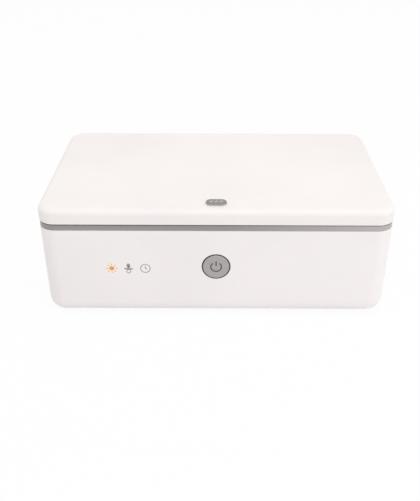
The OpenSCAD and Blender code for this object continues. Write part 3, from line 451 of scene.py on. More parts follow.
def turned(profile, centre, axis, steps=64, closed=False):
    """Lathe work: points of (radius, place along the axis) spun about the axis."""
    centre, axis = Vector(centre), Vector(axis)
    across = Vector((0, 0, 1)) if abs(axis.z) < 0.5 else Vector((1, 0, 0))
    mesh = bmesh.new()
    points = [mesh.verts.new(centre + across * r + axis * along) for r, along in profile]
    following = points[1:] + points[:1] if closed else points[1:]
    edges = [mesh.edges.new(pair) for pair in zip(points, following)]
    bmesh.ops.spin(
        mesh, geom=points + edges, cent=centre, axis=axis, angle=math.tau, steps=steps,
        use_merge=True,
    )
    bmesh.ops.remove_doubles(mesh, verts=mesh.verts, dist=1e-4)
    return mesh


def printed_ring(x, z, inner, outer):
    """Ring, or a disc where it has no inner radius."""
    profile = [(inner, 0), (outer, 0), (outer, ink), (inner, ink)]
    return turned(profile, (x, front_y - ink, z), (0, 1, 0), 32, closed=inner > 0)


def printed_bar(x, z, length, width, degrees=0, out=0.0):
    """Bar whose middle lies out from (x, z) in the direction that it is turned to."""
    mesh = rounded_block(length, width, width * 0.49, 0, ink, steps=4)
    bmesh.ops.translate(mesh, vec=(out, 0, 0), verts=mesh.verts)
    stand = Matrix.Translation((x, front_y, z)) @ Matrix.Rotation(math.radians(-degrees), 4, "Y")
    stand = stand @ Matrix.Rotation(math.radians(90), 4, "X")
    bmesh.ops.transform(mesh, matrix=stand, verts=mesh.verts)
    return mesh


def printed(name, colour):
    """Matt ink: slightly uneven cover and a dry surface."""
    finish = Finish(name)
    cover = finish.noise(900)
    finish.set(
        Base_Color=finish.blend(cover, tint(colour, 0.94), tint(colour, 1.06)),
        Roughness=finish.spread(cover, 0.3, 0.7, 0.5, 0.6),
        Normal=finish.bump(cover, 0.1, 0.00001),
    )
    return finish


sign_z, lamp_sign_x, teat_sign_x, clock_sign_x = 50.0, -90.0, -75.5, -61.0
shining = [printed_ring(lamp_sign_x, sign_z, inner=0, outer=2.1)]
shining += [
    printed_bar(lamp_sign_x, sign_z, length=1.7, width=0.75, degrees=ray * 45, out=4.0)
    for ray in range(8)
]
teat = [
    printed_ring(teat_sign_x, sign_z - 2.9, inner=1.35, outer=2.05),
    printed_bar(teat_sign_x, sign_z - 0.4, length=7.6, width=1.5),
    printed_bar(teat_sign_x, sign_z + 1.3, length=1.5, width=2.2, degrees=90),
    printed_ring(teat_sign_x, sign_z + 3.1, inner=0, outer=1.75),
]
clock = [
    printed_ring(clock_sign_x, sign_z, inner=3.75, outer=4.5),
    printed_bar(clock_sign_x, sign_z, length=2.9, width=0.7, degrees=90, out=1.25),
    printed_bar(clock_sign_x, sign_z, length=2.1, width=0.7, degrees=-20, out=0.9),
]
orange_ink = printed("orange_ink", (0.90, 0.33, 0.02))
grey_ink = printed("grey_ink", (0.33, 0.31, 0.31))
finished("lamp_sign", gather(shining), "base", orange_ink)
finished("pacifier_sign", gather(teat), "base", grey_ink)
finished("clock_sign", gather(clock), "base", grey_ink)


# Feet
# Four round feet punched from black rubber are glued into recesses under the tub. A groove in
# each sole keeps them from sucking onto a smooth table.

groove_in, groove_out, groove_t = 4.4, 5.5, 0.35
foot_sole = [
    (0, 0), (groove_in, 0), (groove_in + 0.3, groove_t), (groove_out - 0.3, groove_t),
    (groove_out, 0), (foot_r - groove_t, 0), (foot_r, groove_t), (foot_r, recess_top),
    (0, recess_top),
]
feet = gather([turned(foot_sole, (x, y, 0), (0, 0, 1), 48) for x, y in foot_places])
foot_rubber = moulded("foot_rubber", (0.033, 0.032, 0.032), 0.72, grain=0.7, spread=0.12)
finished("feet", feet, "base", foot_rubber, ["rubber_feet"], edge=0.12)


# Control board
# A green two-layer board stands on four posts at the back of the tub. It holds the driver chips,
# the can capacitors and one nylon plug for each lead, all soldered and fixed with steel screws.


def dress(finish, *names):
    """Gives solids of the frame their finish."""
    for name in names:
        nodes[name].data.materials.clear()
        nodes[name].data.materials.append(finish.material)


def circuit_board(name, mask):
    """Solder mask with raised tracks, tinned pads and the fine weave of the glass cloth."""
    finish = Finish(name)
    at = finish.place(220)
    square = finish.node(
        "ShaderNodeTexVoronoi", {"distance": "CHEBYCHEV", "feature": "F1"},
        {"Vector": at, "Scale": 1.0, "Randomness": 0.6},
    )
    lanes = finish.node(
        "ShaderNodeTexBrick", {"offset": 0.5},
        {"Vector": at, "Scale": 1.6, "Mortar Size": 0.06, "Mortar Smooth": 0.2,
         "Color1": (0, 0, 0, 1), "Color2": (0, 0, 0, 1), "Mortar": (1, 1, 1, 1)},
        output="Fac",
    )
    weave = finish.noise(2500, 2.0)
    track = finish.spread(lanes, 0.2, 0.7, 0.0, 1.0)
    pad = finish.spread(square, 0.13, 0.16, 1.0, 0.0)
    green = finish.blend(weave, tint(mask, 0.9), tint(mask, 1.1))
    shade = finish.blend(track * 0.7, green, tint(mask, 1.9))
    finish.set(
        Base_Color=finish.blend(pad, shade, (0.72, 0.71, 0.68, 1)),
        Metallic=pad * 0.9,
        Roughness=finish.spread(weave, 0.3, 0.7, 0.33, 0.42) - pad * 0.1,
        Normal=finish.bump(track + pad, 0.5, 0.00003),
    )
    return finish


def metal(name, colour, roughness, stroke=(60, 1500, 1500), depth=0.12, spread=0.06):
    """Metal with fine drawn strokes, clouds of polish and rims that are rubbed bright."""
    finish = Finish(name)
    lines = finish.noise(stroke, 3.0, 0.6)
    cloud = finish.noise(38)
    worn = finish.rims(0.515, 0.58)
    shade = finish.blend(lines, tint(colour, 1 - spread), tint(colour, 1 + spread))
    finish.set(
        Base_Color=finish.blend(worn * 0.4, shade, tint(colour, 1.25)),
        Metallic=1.0,
        Roughness=finish.spread(cloud, 0.3, 0.7, roughness - 0.03, roughness + 0.05)
        + finish.spread(lines, 0.3, 0.7, -0.02, 0.02),
        Normal=finish.bump(lines, depth, 0.00002),
    )
    return finish


green_board = circuit_board("green_board", (0.012, 0.105, 0.04))
screw_steel = metal("screw_steel", (0.66, 0.66, 0.64), 0.3, stroke=(900, 900, 900))
black_epoxy = moulded("black_epoxy", (0.022, 0.022, 0.024), 0.45, spread=0.1)
can_sleeve = moulded("can_sleeve", (0.045, 0.06, 0.12), 0.35, spread=0.08)
nylon = moulded("nylon", (0.78, 0.72, 0.58), 0.42, spread=0.04)
dress(green_board, "main_board")
dress(screw_steel, "main_board_screws", "base_led_screws", "switch_screws", "tub_hinge_screws")
dress(black_epoxy, "main_board_chips")
dress(can_sleeve, "main_board_capacitors")
dress(nylon, "main_board_connectors")


# Power inlet
# The low-voltage inlet is a moulded socket with a sprung steel pin. It goes in from the back of
# the tub, and a thin hexagon nut behind the wall draws its flange against the shell.

inlet_at = (inlet_x, 0, inlet_z)
socket_r, flange_r = 2.9, 7.3
mouth_y, socket_y, inlet_y, terminal_y = 89.5, 79.0, 74.0, 72.4
inlet_body = turned(
    [(0, socket_y), (socket_r, socket_y), (socket_r, mouth_y - 0.3), (socket_r + 0.4, mouth_y),
     (flange_r - 0.4, mouth_y), (flange_r, mouth_y - 0.4), (flange_r, half_d), (inlet_r, half_d),
     (inlet_r, inlet_y), (0, inlet_y)],
    inlet_at, (0, 1, 0), 64,
)
terminals = block(
    (inlet_x - inlet_r, terminal_y, inlet_z - inlet_r),
    (inlet_x + inlet_r, inlet_y, inlet_z + inlet_r), edge=0.4,
)
contact_tip, sleeve_mouth, sleeve_out, sleeve_in = 88.5, 88.4, 2.86, 2.6
contact_pin = turned(
    [(0, socket_y), (1, socket_y), (1, contact_tip - 0.9), (0.8, contact_tip - 0.4),
     (0.45, contact_tip - 0.1), (0, contact_tip)],
    inlet_at, (0, 1, 0), 24,
)
contact_sleeve = turned(
    [(sleeve_out, socket_y + 0.2), (sleeve_out, sleeve_mouth), (sleeve_in, sleeve_mouth),
     (sleeve_in, socket_y + 0.2)],
    inlet_at, (0, 1, 0), 48, closed=True,
)
inlet_black = moulded("inlet_black", (0.028, 0.027, 0.028), 0.38, spread=0.1)
finished(
    "inlet_socket", gather([inlet_body, terminals]), "base", inlet_black,
    ["dc_inlet"], edge=0.1,
)
bright_contact = metal("bright_contact", (0.72, 0.71, 0.68), 0.2)
finished(
    "inlet_contacts", gather([contact_pin, contact_sleeve]), "base", bright_contact,
    ["dc_inlet"], edge=0.05,
)
red_lead = moulded("red_lead", (0.36, 0.015, 0.012), 0.42, spread=0.1)
grey_lead = moulded("grey_lead", (0.36, 0.36, 0.36), 0.5, spread=0.06)
dress(screw_steel, "inlet_nut")
dress(red_lead, "inlet_lead")


# Push button
# The cap is a cup turned from aluminium, blasted and anodised, with a lightly dished face that
# carries a power sign. It runs in a dark satin bezel that is pressed into the tub's front.

button_at = (0, 0, button_z)
bezel_r, bezel_bore = 12.5, 11.7
bezel = turned(
    [(bezel_bore, front_y + 1.4), (bezel_bore, front_y + 0.2), (bezel_bore + 0.2, front_y),
     (bezel_r - 0.2, front_y), (bezel_r, front_y + 0.2), (bezel_r, front_y + 1.4),
     (sleeve_r, front_y + 1.6), (sleeve_r, front_y + 6), (bezel_bore + snug, front_y + 6)],
    button_at, (0, 1, 0), 128, closed=True,
)
bezel_black = moulded("bezel_black", (0.043, 0.037, 0.037), 0.3, grain=0.15, spread=0.08)
finished("bezel", bezel, "base", bezel_black, ["button_bezel"], edge=0.08)

cap_face = front_y - 0.6
cap_r, cap_bore, cap_flange_r = 11.4, 9.8, 13.6
cap_inside, cap_stop, cap_back = -87.0, -81.7, -80.2
cap = turned(
    [(0, cap_face + 0.30), (3, cap_face + 0.28), (6, cap_face + 0.20), (8.5, cap_face + 0.09),
     (10.3, cap_face + 0.005), (10.75, cap_face), (11.05, cap_face + 0.08),
     (11.3, cap_face + 0.3), (cap_r, cap_face + 0.65), (cap_r, cap_stop),
     (cap_flange_r, cap_stop), (cap_flange_r, cap_back), (cap_bore, cap_back),
     (cap_bore, cap_inside), (0, cap_inside)],
    button_at, (0, 1, 0), 128,
)
anodised_cap = Finish("anodised_cap")
cap_place = anodised_cap.place(1, (0, 0, button_z * 0.001))
rings = anodised_cap.node(
    "ShaderNodeTexWave",
    {"wave_type": "RINGS", "rings_direction": "Y", "wave_profile": "SIN"},
    {"Vector": cap_place, "Scale": 900.0, "Distortion": 2.5, "Detail": 3.0, "Detail Scale": 4.0},
)
blasted = anodised_cap.noise(3200, 2.0)
cap_cloud = anodised_cap.noise(120)
cap_colour = (0.43, 0.405, 0.40)
anodised_cap.set(
    Base_Color=anodised_cap.blend(cap_cloud, tint(cap_colour, 0.95), tint(cap_colour, 1.05)),
    Metallic=0.75,
    Roughness=anodised_cap.spread(rings, 0.0, 1.0, 0.36, 0.44),
    Normal=anodised_cap.bump(blasted + rings * 0.6, 0.2, 0.00002),
)
finished("button_cap", cap, "button", anodised_cap, ["power_button"], smooth=35)

sign_front, sign_back = cap_face + 0.2, cap_face + 0.5
arc_in, arc_out, half_gap = 4.0, 5.1, 38
power_arc = bmesh.new()
arc_section = [
    (arc_in, sign_front), (arc_out, sign_front), (arc_out, sign_back), (arc_in, sign_back)
]
power_arc.faces.new([power_arc.verts.new((0, depth, button_z + r)) for r, depth in arc_section])
bmesh.ops.rotate(
    power_arc, cent=button_at, matrix=Matrix.Rotation(math.radians(half_gap), 3, "Y"),
    verts=power_arc.verts,
)
bmesh.ops.spin(
    power_arc, geom=power_arc.verts[:] + power_arc.edges[:] + power_arc.faces[:],
    cent=button_at, axis=(0, 1, 0), angle=math.radians(360 - 2 * half_gap), steps=48,
)
half_stroke = (arc_out - arc_in) / 2
power_bar = block(
    (-half_stroke, sign_front, button_z + 1.0), (half_stroke, sign_back, button_z + 5.7)
)
sign_ink = printed("sign_ink", (0.075, 0.065, 0.07))
finished("power_sign", gather([power_arc, power_bar]), "button", sign_ink)
dress(black_epoxy, "switch_plunger", "switch_body")
dress(green_board, "switch_board")
dress(grey_lead, "switch_lead", "base_led_lead", "reed_lead")


# Magnets and lid switch
# Two nickel plated disc magnets sit in the band's front and two face them in the lid. A glass
# reed switch beside them feels a small magnet in the lid and cuts the lamps when it opens.

nickel = metal("nickel", (0.7, 0.69, 0.67), 0.14, stroke=(300, 300, 300), depth=0.05)
green_glass = moulded("green_glass", (0.12, 0.26, 0.17), 0.12, grain=0.05, spread=0.12)
dress(nickel, "base_magnets", "lid_magnets", "sensor_magnet")
dress(green_glass, "reed_switch")


# Trim band
# The band is bent from extruded aluminium, brushed along its length and anodised in warm grey.
# A skirt centres it in the tub, a rebate takes the liner's flange, and a step shades its top.

band_high, band_inset, band_inner = 92.5, 0.4, 8.0
step_h, step_inset = 0.6, 1.3
skirt_low, skirt_inset, skirt_t = 83.0, 3.0, 1.5
flange_inset, gap = 6.0, 0.2
magnets_at, magnet_t, magnet_bore = [(x, -83.8) for x in (-70, 70)], 3.0, 2.55
reed_x, reed_y, reed_high, reed_room = 14.0, -82.6, 90.3, (7.3, 1.7)


def case_block(inset, low, high, foot=0.0, top=0.0, steps=12):
    """Block with the case's outline drawn in by an inset."""
    return rounded_block(
        case_w - 2 * inset, case_d - 2 * inset, corner - inset, low, high, foot, top, steps
    )


def moved(mesh, x=0.0, y=0.0, z=0.0):
    bmesh.ops.translate(mesh, vec=(x, y, z), verts=mesh.verts)
    return mesh


def ribbon_slot(low, high, back=82.6):
    """Cutter for the slot that the ribbon to the lid passes through."""
    return block((6.0, 79.6, low), (24.0, back, high))


def hinge_room(x, low, high, back, front=79.3):
    """Cutter as wide as a hinge with its play, by default from in front of the tub's leaf."""
    half = hinge_l / 2 + hinge_play
    return block((x - half, front, low), (x + half, back, high))


band = carve(
    case_block(band_inset, tub_high, band_high - step_h, steps=20),
    [case_block(step_inset, band_high - step_h - gap, band_high, steps=20)], "UNION",
)
band = carve(band, [case_block(band_inner, 80, 100, steps=16)])
skirt = carve(
    case_block(skirt_inset, skirt_low, tub_high + gap, steps=16),
    [case_block(skirt_inset + skirt_t, 80, 90, steps=16)],
)
band = carve(band, [skirt], "UNION")
band_cuts = [case_block(flange_inset - gap, band_high - sheet, 95, steps=16)]
band_cuts += [hinge_room(x, 89.0, 94, 90) for x in hinge_xs]
band = carve(band, band_cuts)
band = carve(
    band,
    [hinge_room(x, 82.9, 94, 81.4) for x in hinge_xs]
    + uprights(magnet_bore, magnets_at, 80, tub_high + magnet_t + gap, 32)
    + [block((reed_x - reed_room[0], reed_y - reed_room[1], 80),
             (reed_x + reed_room[0], reed_y + reed_room[1], reed_high))]
    + [ribbon_slot(86.9, 94)],
)
anodised_band = Finish("anodised_band")
drawn = anodised_band.noise((14, 14, 3400), 3.0, 0.65)
fine = anodised_band.noise((2200, 2200, 5200), 2.0)
band_cloud = anodised_band.noise((16, 16, 60))
band_rim = anodised_band.rims(0.515, 0.57)
band_colour = (0.310, 0.284, 0.285)
band_shade = anodised_band.blend(drawn, tint(band_colour, 0.9), tint(band_colour, 1.1))
# Painted light: the band's colour lightens towards its right end, a painted reflection of brighter
# light on that side.
painted_right_light = anodised_band.spread(
    anodised_band.along("X") + band_cloud * 0.03, 0.02, 0.16, 0.0, 1.0
)
band_shade = anodised_band.blend(painted_right_light, band_shade, tint(band_colour, 1.75))
anodised_band.set(
    Base_Color=anodised_band.blend(band_rim * 0.5, band_shade, tint(band_colour, 1.35)),
    Metallic=0.85,
    Roughness=anodised_band.spread(band_cloud, 0.3, 0.7, 0.3, 0.38)
    + anodised_band.spread(drawn, 0.3, 0.7, -0.03, 0.04),
    Normal=anodised_band.bump(drawn + fine * 0.4, 0.16, 0.00002),
)
finished("band", band, "base", anodised_band, ["trim_band"], edge=0.25, steps=3)


# Lower lamps
# Four UV-C lamps shine up through the liner's floor. Each sits on a long board on the tub's
# posts, under a disc of polished quartz that is bonded to the underside of the liner.

lamps_at = [(x, 0) for x in (-90, -30, 30, 90)]
lamp_hole, disc_r, disc_t = 6.0, 8.0, 1.5
quartz = Finish("quartz")
quartz_cloud = quartz.noise(400)
quartz.shader.inputs["Transmission Weight"].default_value = 1.0
quartz.shader.inputs["IOR"].default_value = 1.46
quartz.set(
    Base_Color=quartz.blend(quartz_cloud, (0.95, 0.97, 1.0, 1), (0.98, 0.99, 1.0, 1)),
    Roughness=quartz.spread(quartz_cloud, 0.35, 0.65, 0.02, 0.06),
)
lamp_ceramic = Finish("lamp_ceramic")
die = lamp_ceramic.node(
    "ShaderNodeTexVoronoi", {"distance": "CHEBYCHEV"},
    {"Vector": lamp_ceramic.place(600), "Scale": 1.0, "Randomness": 0.2},
)
phosphor = lamp_ceramic.noise(1500, 2.0)
lamp_ceramic.set(
    Base_Color=lamp_ceramic.blend(
        lamp_ceramic.spread(die, 0.2, 0.3, 1.0, 0.0), (0.82, 0.78, 0.66, 1), (0.55, 0.5, 0.2, 1)
    ),
    Roughness=lamp_ceramic.spread(phosphor, 0.3, 0.7, 0.16, 0.3),
    Normal=lamp_ceramic.bump(phosphor, 0.2, 0.00002),
)


def quartz_discs(low):
    """One disc with ground edges over each lamp."""
    high, edge = low + disc_t, 0.3
    profile = [
        (0, low), (disc_r - edge, low), (disc_r, low + edge), (disc_r, high - edge),
        (disc_r - edge, high), (0, high),
    ]
    return gather([turned(profile, (x, y, 0), (0, 0, 1), 48) for x, y in lamps_at])


lower_quartz = quartz_discs(floor_z - sheet - disc_t)
finished("lower_quartz", lower_quartz, "base", quartz, ["base_windows"])
dress(lamp_ceramic, "base_uv_leds", "lid_uv_leds", "status_leds")
dress(green_board, "base_led_board", "lid_led_board", "status_board")


# Chamber liner
# The chamber is one deep pressing in thin stainless sheet, brushed inside. It hangs by its
# flange in the band's rebate, over a rolled lip, and four screws hold its floor to the posts.

chamber_r, floor_round, lip_round, screw_pass = 10.0, 3.0, 1.2, 1.75


def chamber_block(inset, low, high, foot=0.0):
    """Block with the chamber's outline drawn in by an inset."""
    return rounded_block(
        chamber_w - 2 * inset, chamber_d - 2 * inset, chamber_r - inset, low, high, foot
    )


liner = gather([
    chamber_block(0, floor_z, band_high, foot=floor_round),
    case_block(flange_inset, band_high, band_high + 1),
])
spare = [f for f in liner.faces if max(v.co.z for v in f.verts) > band_high + 0.5]
bmesh.ops.delete(liner, geom=spare, context="FACES")
mouths = [f for f in liner.faces if min(v.co.z for v in f.verts) > band_high - 1e-3]
bmesh.ops.delete(liner, geom=mouths, context="FACES_ONLY")
rims = [e for e in level_edges(liner, band_high) if e.is_boundary or e.is_wire]
bmesh.ops.bridge_loops(liner, edges=rims)
inner_rim = [e for e in rims if max(abs(v.co.x) for v in e.verts) < chamber_w / 2 + 0.01
             and max(abs(v.co.y) for v in e.verts) < chamber_d / 2 + 0.01]
round_edges(liner, inner_rim, lip_round, 5)
bmesh.ops.recalc_face_normals(liner, faces=liner.faces)
if min(liner.faces, key=lambda f: f.calc_center_median().z).normal.z < 0:
    bmesh.ops.reverse_faces(liner, faces=liner.faces)
bmesh.ops.solidify(liner, geom=liner.faces, thickness=sheet)
liner = carve(
    liner,
    uprights(lamp_hole, lamps_at, 20, 30, 48) + uprights(screw_pass, liner_screws_at, 20, 30)
    + [ribbon_slot(91, 94, back=90)],
)
brushed_liner = metal("brushed_liner", (0.68, 0.675, 0.665), 0.27, stroke=(22, 2400, 2400),
                      depth=0.07)
finished("liner", liner, "base", brushed_liner, ["chamber_liner"], edge=0.1)


def pan_screws(places, level, length, turn, start=0.0, hung=False):
    """Pan-head screws with a cross recess, each turned a little further than the one before."""
    shank = 1.5
    screw = turned(
        [(0, 1.3), (1.3, 1.26), (2.1, 1.08), (2.55, 0.7), (2.7, 0.2), (2.6, 0), (shank, 0),
         (shank, 0.6 - length), (shank - 0.6, -length), (0, -length)],
        (0, 0, 0), (0, 0, 1), 32,
    )
    reach, half_arm, depth = 1.5, 0.35, 0.55
    screw = carve(screw, [
        block((-reach, -half_arm, depth), (reach, half_arm, 2)),
        block((-half_arm, -reach, depth), (half_arm, reach, 2)),
    ])
    upside = Matrix.Rotation(math.pi if hung else 0, 4, "X")
    copies = []
    for i, (x, y) in enumerate(places):
        driven = upside @ Matrix.Rotation(turn * i + start, 4, "Z")
        copy = screw.copy()
        bmesh.ops.transform(
            copy, matrix=Matrix.Translation((x, y, level)) @ driven, verts=copy.verts
        )
        copies.append(copy)
    screw.free()
    return gather(copies)


liner_heads = pan_screws(liner_screws_at, floor_z, length=6, turn=0.4, start=0.2)
finished("liner_heads", liner_heads, "base", screw_steel, ["liner_screws"])


# Hinges
# Two hinges of satin stainless strip join lid and tub at the back. Each has a leaf on the tub's
# pad with two outer knuckles, a stepped leaf on the lid's bosses, and one pin with domed ends.

pin_y, pin_z, pin_r, knuckle = half_d, 92.75, 1.5, 3.4
leaf_t, knuckle_l, lid_knuckle_l, screw_apart = 1.5, 9.0, 19.5, 11
hinge_steel = metal("hinge_steel", (0.56, 0.55, 0.54), 0.28, stroke=(45, 1800, 1800))


def knuckle_rod(x, length, radius=knuckle, edge=0.25):
    """Rod on the hinge line, its middle at x."""
    return rod(radius, (x - length / 2, pin_y, pin_z), (x + length / 2, pin_y, pin_z), 48, edge)


def screw_pair(x, start, end):
    """Cutters for a leaf's two screws on either side of x, from start to end as (y, z)."""
    places = [x + s * screw_apart for s in (-1, 1)]
    return [rod(screw_pass, (at, *start), (at, *end), 24) for at in places]


tub_leaf_low, tub_leaf_high, tub_screw_z = 70.85, 90.85, 76.7
arm_low, arm_front, riser_y, lid_leaf_y, lid_leaf_high, lid_screw_y = (
    94.65, 81.5, 83.0, 66.5, 98.5, 74.75
)
tub_leaves, lid_leaves, pins = [], [], []
for x in hinge_xs:
    outer_xs = [x + s * (hinge_l - knuckle_l) / 2 for s in (-1, 1)]
    leaf = block(
        (x - hinge_l / 2, pad_face - leaf_t, tub_leaf_low),
        (x + hinge_l / 2, pad_face, tub_leaf_high),
    )
    leaf = carve(leaf, [
        block(
            (at - knuckle_l / 2, pad_face - leaf_t + 0.1, tub_leaf_high - leaf_t),
            (at + knuckle_l / 2, pin_y, tub_leaf_high),
        ) for at in outer_xs
    ], "UNION")
    leaf = carve(leaf, [knuckle_rod(at, knuckle_l) for at in outer_xs], "UNION")
    tub_leaves.append(carve(leaf, screw_pair(x, (78, tub_screw_z), (83, tub_screw_z))))
    half_arm = lid_knuckle_l / 2
    arm = carve(
        block((x - half_arm, arm_front, arm_low), (x + half_arm, pin_y, arm_low + leaf_t)),
        [block((x - half_arm, arm_front, arm_low + 0.05), (x + half_arm, riser_y, lid_leaf_high))],
        "UNION",
    )
    arm = carve(arm, [block(
        (x - hinge_l / 2, lid_leaf_y, lid_leaf_high - leaf_t),
        (x + hinge_l / 2, riser_y, lid_leaf_high),
    )], "UNION")
    arm = carve(arm, [knuckle_rod(x, lid_knuckle_l)], "UNION")
    lid_leaves.append(carve(arm, screw_pair(x, (lid_screw_y, 96), (lid_screw_y, 99))))
    pins.append(knuckle_rod(x, hinge_l, pin_r, 0.5))
finished(
    "tub_leaves", gather(tub_leaves), "base", hinge_steel, ["tub_hinge_leaves"],
    edge=0.2,
)
finished(
    "lid_leaves", gather(lid_leaves), "lid", hinge_steel, ["lid_hinge_leaves"],
    edge=0.2,
)
finished("pins", gather(pins), "base", bright_contact, ["hinge_pins"])
dress(screw_steel, "lid_hinge_screws")


# Lid
# The lid is moulded in the same white ABS as the tub, a plain panel with a generous round over
# its top edge. Bosses for the screws and magnets hang from its inside, hidden by the frame.

lid_low, lid_high, lid_wall, lid_round = 93.0, 106.0, 2.5, 5.0
lid_inside = lid_high - lid_wall
cup_r, cup_low, boss_foot, head_seat = 3.7, 95.3, 97.1, 95.7
frame_screw_inset = 15.75
frame_screws = [(x * case_w / 6, half_d - frame_screw_inset) for x in (-1, 1)]
frame_screws += [(x * case_w / 3, frame_screw_inset - half_d) for x in (-1, 1)]
frame_screws += [(x * (half_w - frame_screw_inset), 0) for x in (-1, 1)]
reflector_screws = corners(chamber_w / 4, 0.31 * chamber_d)
window_y, window_l, window_w = -74.1, 17.5, 9.5
mirror_low, mirror_high = 95.1, 95.6
lid_board_high, status_board_high, status_post_r = 100.2, 98.4, 2.8
status_screws_at = [(x, window_y) for x in (-12.75, 12.75)]
leaf_screws = [(x + s * screw_apart, lid_screw_y) for x in hinge_xs for s in (-1, 1)]


def hinge_channels():
    """Cutters that clear the knuckles in the lid and its frame."""
    length, radius = hinge_l + 2 * hinge_play, knuckle + hinge_play
    return [knuckle_rod(x, length, radius, 0) for x in hinge_xs]


lid = case_block(0, lid_low, lid_high, top=lid_round, steps=16)
lid = carve(lid, [case_block(lid_wall, 80, lid_inside, top=lid_round - lid_wall)])
boss_root = lid_inside + root
bosses = uprights(post_r, frame_screws, boss_foot, boss_root)
bosses += uprights(post_r, reflector_screws, mirror_high, boss_root)
bosses += uprights(post_r, lamp_screws_at, lid_board_high, boss_root)
bosses += uprights(status_post_r, status_screws_at, status_board_high, boss_root)
bosses += uprights(post_r, leaf_screws, lid_leaf_high, boss_root)
lid = carve(lid, bosses, "UNION")
cups = [
    carve(
        rod(cup_r, (x, y, cup_low), (x, y, boss_root), 32),
        [rod(magnet_bore, (x, y, 94), (x, y, cup_low + magnet_t + gap), 32)],
    ) for x, y in magnets_at
]
lid = carve(lid, cups, "UNION")
window_opening = rounded_block(window_l + 2 * gap, window_w + 2 * gap, 4.94, 100, 110, steps=16)
lid = carve(
    lid,
    [moved(window_opening, y=window_y)]
    + [hinge_room(x, 92, 96.65, 90, front=84.5) for x in hinge_xs],
)
lid = carve(lid, hinge_channels())
finished("lid", lid, "lid", white_shell, ["lid_shell"], edge=0.2)


# Status window
# One moulding in smoked acrylic stands a little proud of the lid. Its lip bears against the
# inside of the lid, and three slanted light guides come through its top, one for each lamp state.

window_low, window_top, window_r, lip = 102.3, 107.9, 4.5, 1.2
window = rounded_block(
    window_l, window_w, window_r, window_low, window_top - 0.04, top=0.55, steps=16, rim_steps=4
)
window = carve(window, [rounded_block(
    window_l + 2 * lip, window_w + 2 * lip, window_r + lip, window_low, lid_inside - snug,
    steps=16,
)], "UNION")
smoked = Finish("smoked_acrylic")
haze = smoked.noise(500)
scuff = smoked.noise((2000, 300, 2000))
smoke = smoked.blend(haze, (0.21, 0.20, 0.195, 1), (0.245, 0.235, 0.23, 1))
# Below 106.8 mm the moulding's sides are coloured a pale grey, lighter than the smoked top, so its
# front wall shows as a light strip.
smoked.set(
    Base_Color=smoked.blend(
        smoked.spread(smoked.along("Z"), 0.1068, 0.1075, 0.0, 1.0), (0.55, 0.53, 0.51, 1), smoke
    ),
    Roughness=smoked.spread(scuff, 0.3, 0.7, 0.2, 0.3),
    Normal=smoked.bump(scuff, 0.08, 0.00001),
)
finished(
    "window", moved(window, y=window_y), "lid", smoked, ["status_window"],
    smooth=30,
)
guides = []
guide_l, guide_w, guide_slant = 3.6, 0.9, math.radians(38)
for x in (-4.2, 0.0, 4.2):
    guide = rounded_block(guide_l, guide_w, 0.44, window_top - 0.5, window_top, steps=4)
    bmesh.ops.rotate(guide, matrix=Matrix.Rotation(guide_slant, 3, "Z"), verts=guide.verts)
    guides.append(moved(guide, x=x, y=window_y))
pale_guide = moulded("pale_guide", (0.62, 0.61, 0.59), 0.25, grain=0.1)
finished("light_guides", gather(guides), "lid", pale_guide, smooth=30)


# Upper lamps and status lights
# The same board of four lamps hangs from the lid's bosses behind the reflector, and a small
# board under the status window carries three indicator lights. Both plug into the ribbon.

upper_quartz = quartz_discs(mirror_high)
finished("upper_quartz", upper_quartz, "lid", quartz, ["lid_windows"])
dress(screw_steel, "lid_led_screws", "status_screws")
dress(nylon, "lid_connector")
dress(grey_lead, "status_lead")


# Lid frame
# A matt white moulding closes the lid from below. Its baffle hangs into the chamber so that no
# light gets out, a groove outside the baffle holds the seal, and six deep screws fix it.

frame_low, baffle_low, baffle_t, baffle_gap, ledge_w = 93.6, 88.6, 2.0, 1.5, 3.0
groove_high, seal_inset, seal_w = 94.2, 9.0, 3.0
frame_boss_r, head_room_r, sensor_room_r = 3.9, 3.0, 2.45
arm_room = lid_knuckle_l / 2 + hinge_play
inner_frame = carve(
    case_block(3, frame_low, mirror_low), [chamber_block(baffle_gap, baffle_low, 94.1)], "UNION"
)
inner_frame = carve(
    inner_frame, uprights(frame_boss_r, frame_screws, frame_low, boss_foot, 32), "UNION"
)
groove = carve(
    case_block(seal_inset - snug, 90, groove_high), [case_block(seal_inset + seal_w + snug, 85, 97)]
)
inner_frame = carve(inner_frame, [chamber_block(baffle_gap + baffle_t, 80, frame_low)])
inner_frame = carve(inner_frame, [chamber_block(baffle_gap + baffle_t + ledge_w, 80, 100)])
inner_frame = carve(inner_frame, [groove])
inner_frame = carve(
    inner_frame,
    uprights(head_room_r, frame_screws, 90, head_seat, 32)
    + uprights(sensor_room_r, [(reed_x, reed_y)], mirror_low, 99)
    + [block((x - arm_room, arm_front - hinge_play, 90), (x + arm_room, pin_y, 98))
       for x in hinge_xs]
    + [ribbon_slot(90, 98)],
)
inner_frame = carve(inner_frame, hinge_channels() + uprights(screw_pass, frame_screws, 94, 99))
matt_white = moulded("matt_white_abs", (0.80, 0.785, 0.77), 0.5, grain=0.5, spread=0.03)
finished("frame", inner_frame, "lid", matt_white, ["lid_frame"], edge=0.2)
frame_heads = pan_screws(frame_screws, head_seat, length=7, turn=0.5, hung=True)
finished("frame_heads", frame_heads, "lid", screw_steel, ["lid_frame_screws"])


# Seal
# The seal is cut from extruded silicone cord, pressed into the frame's groove. Its rounded
# underside meets the liner's flange when the lid is shut.

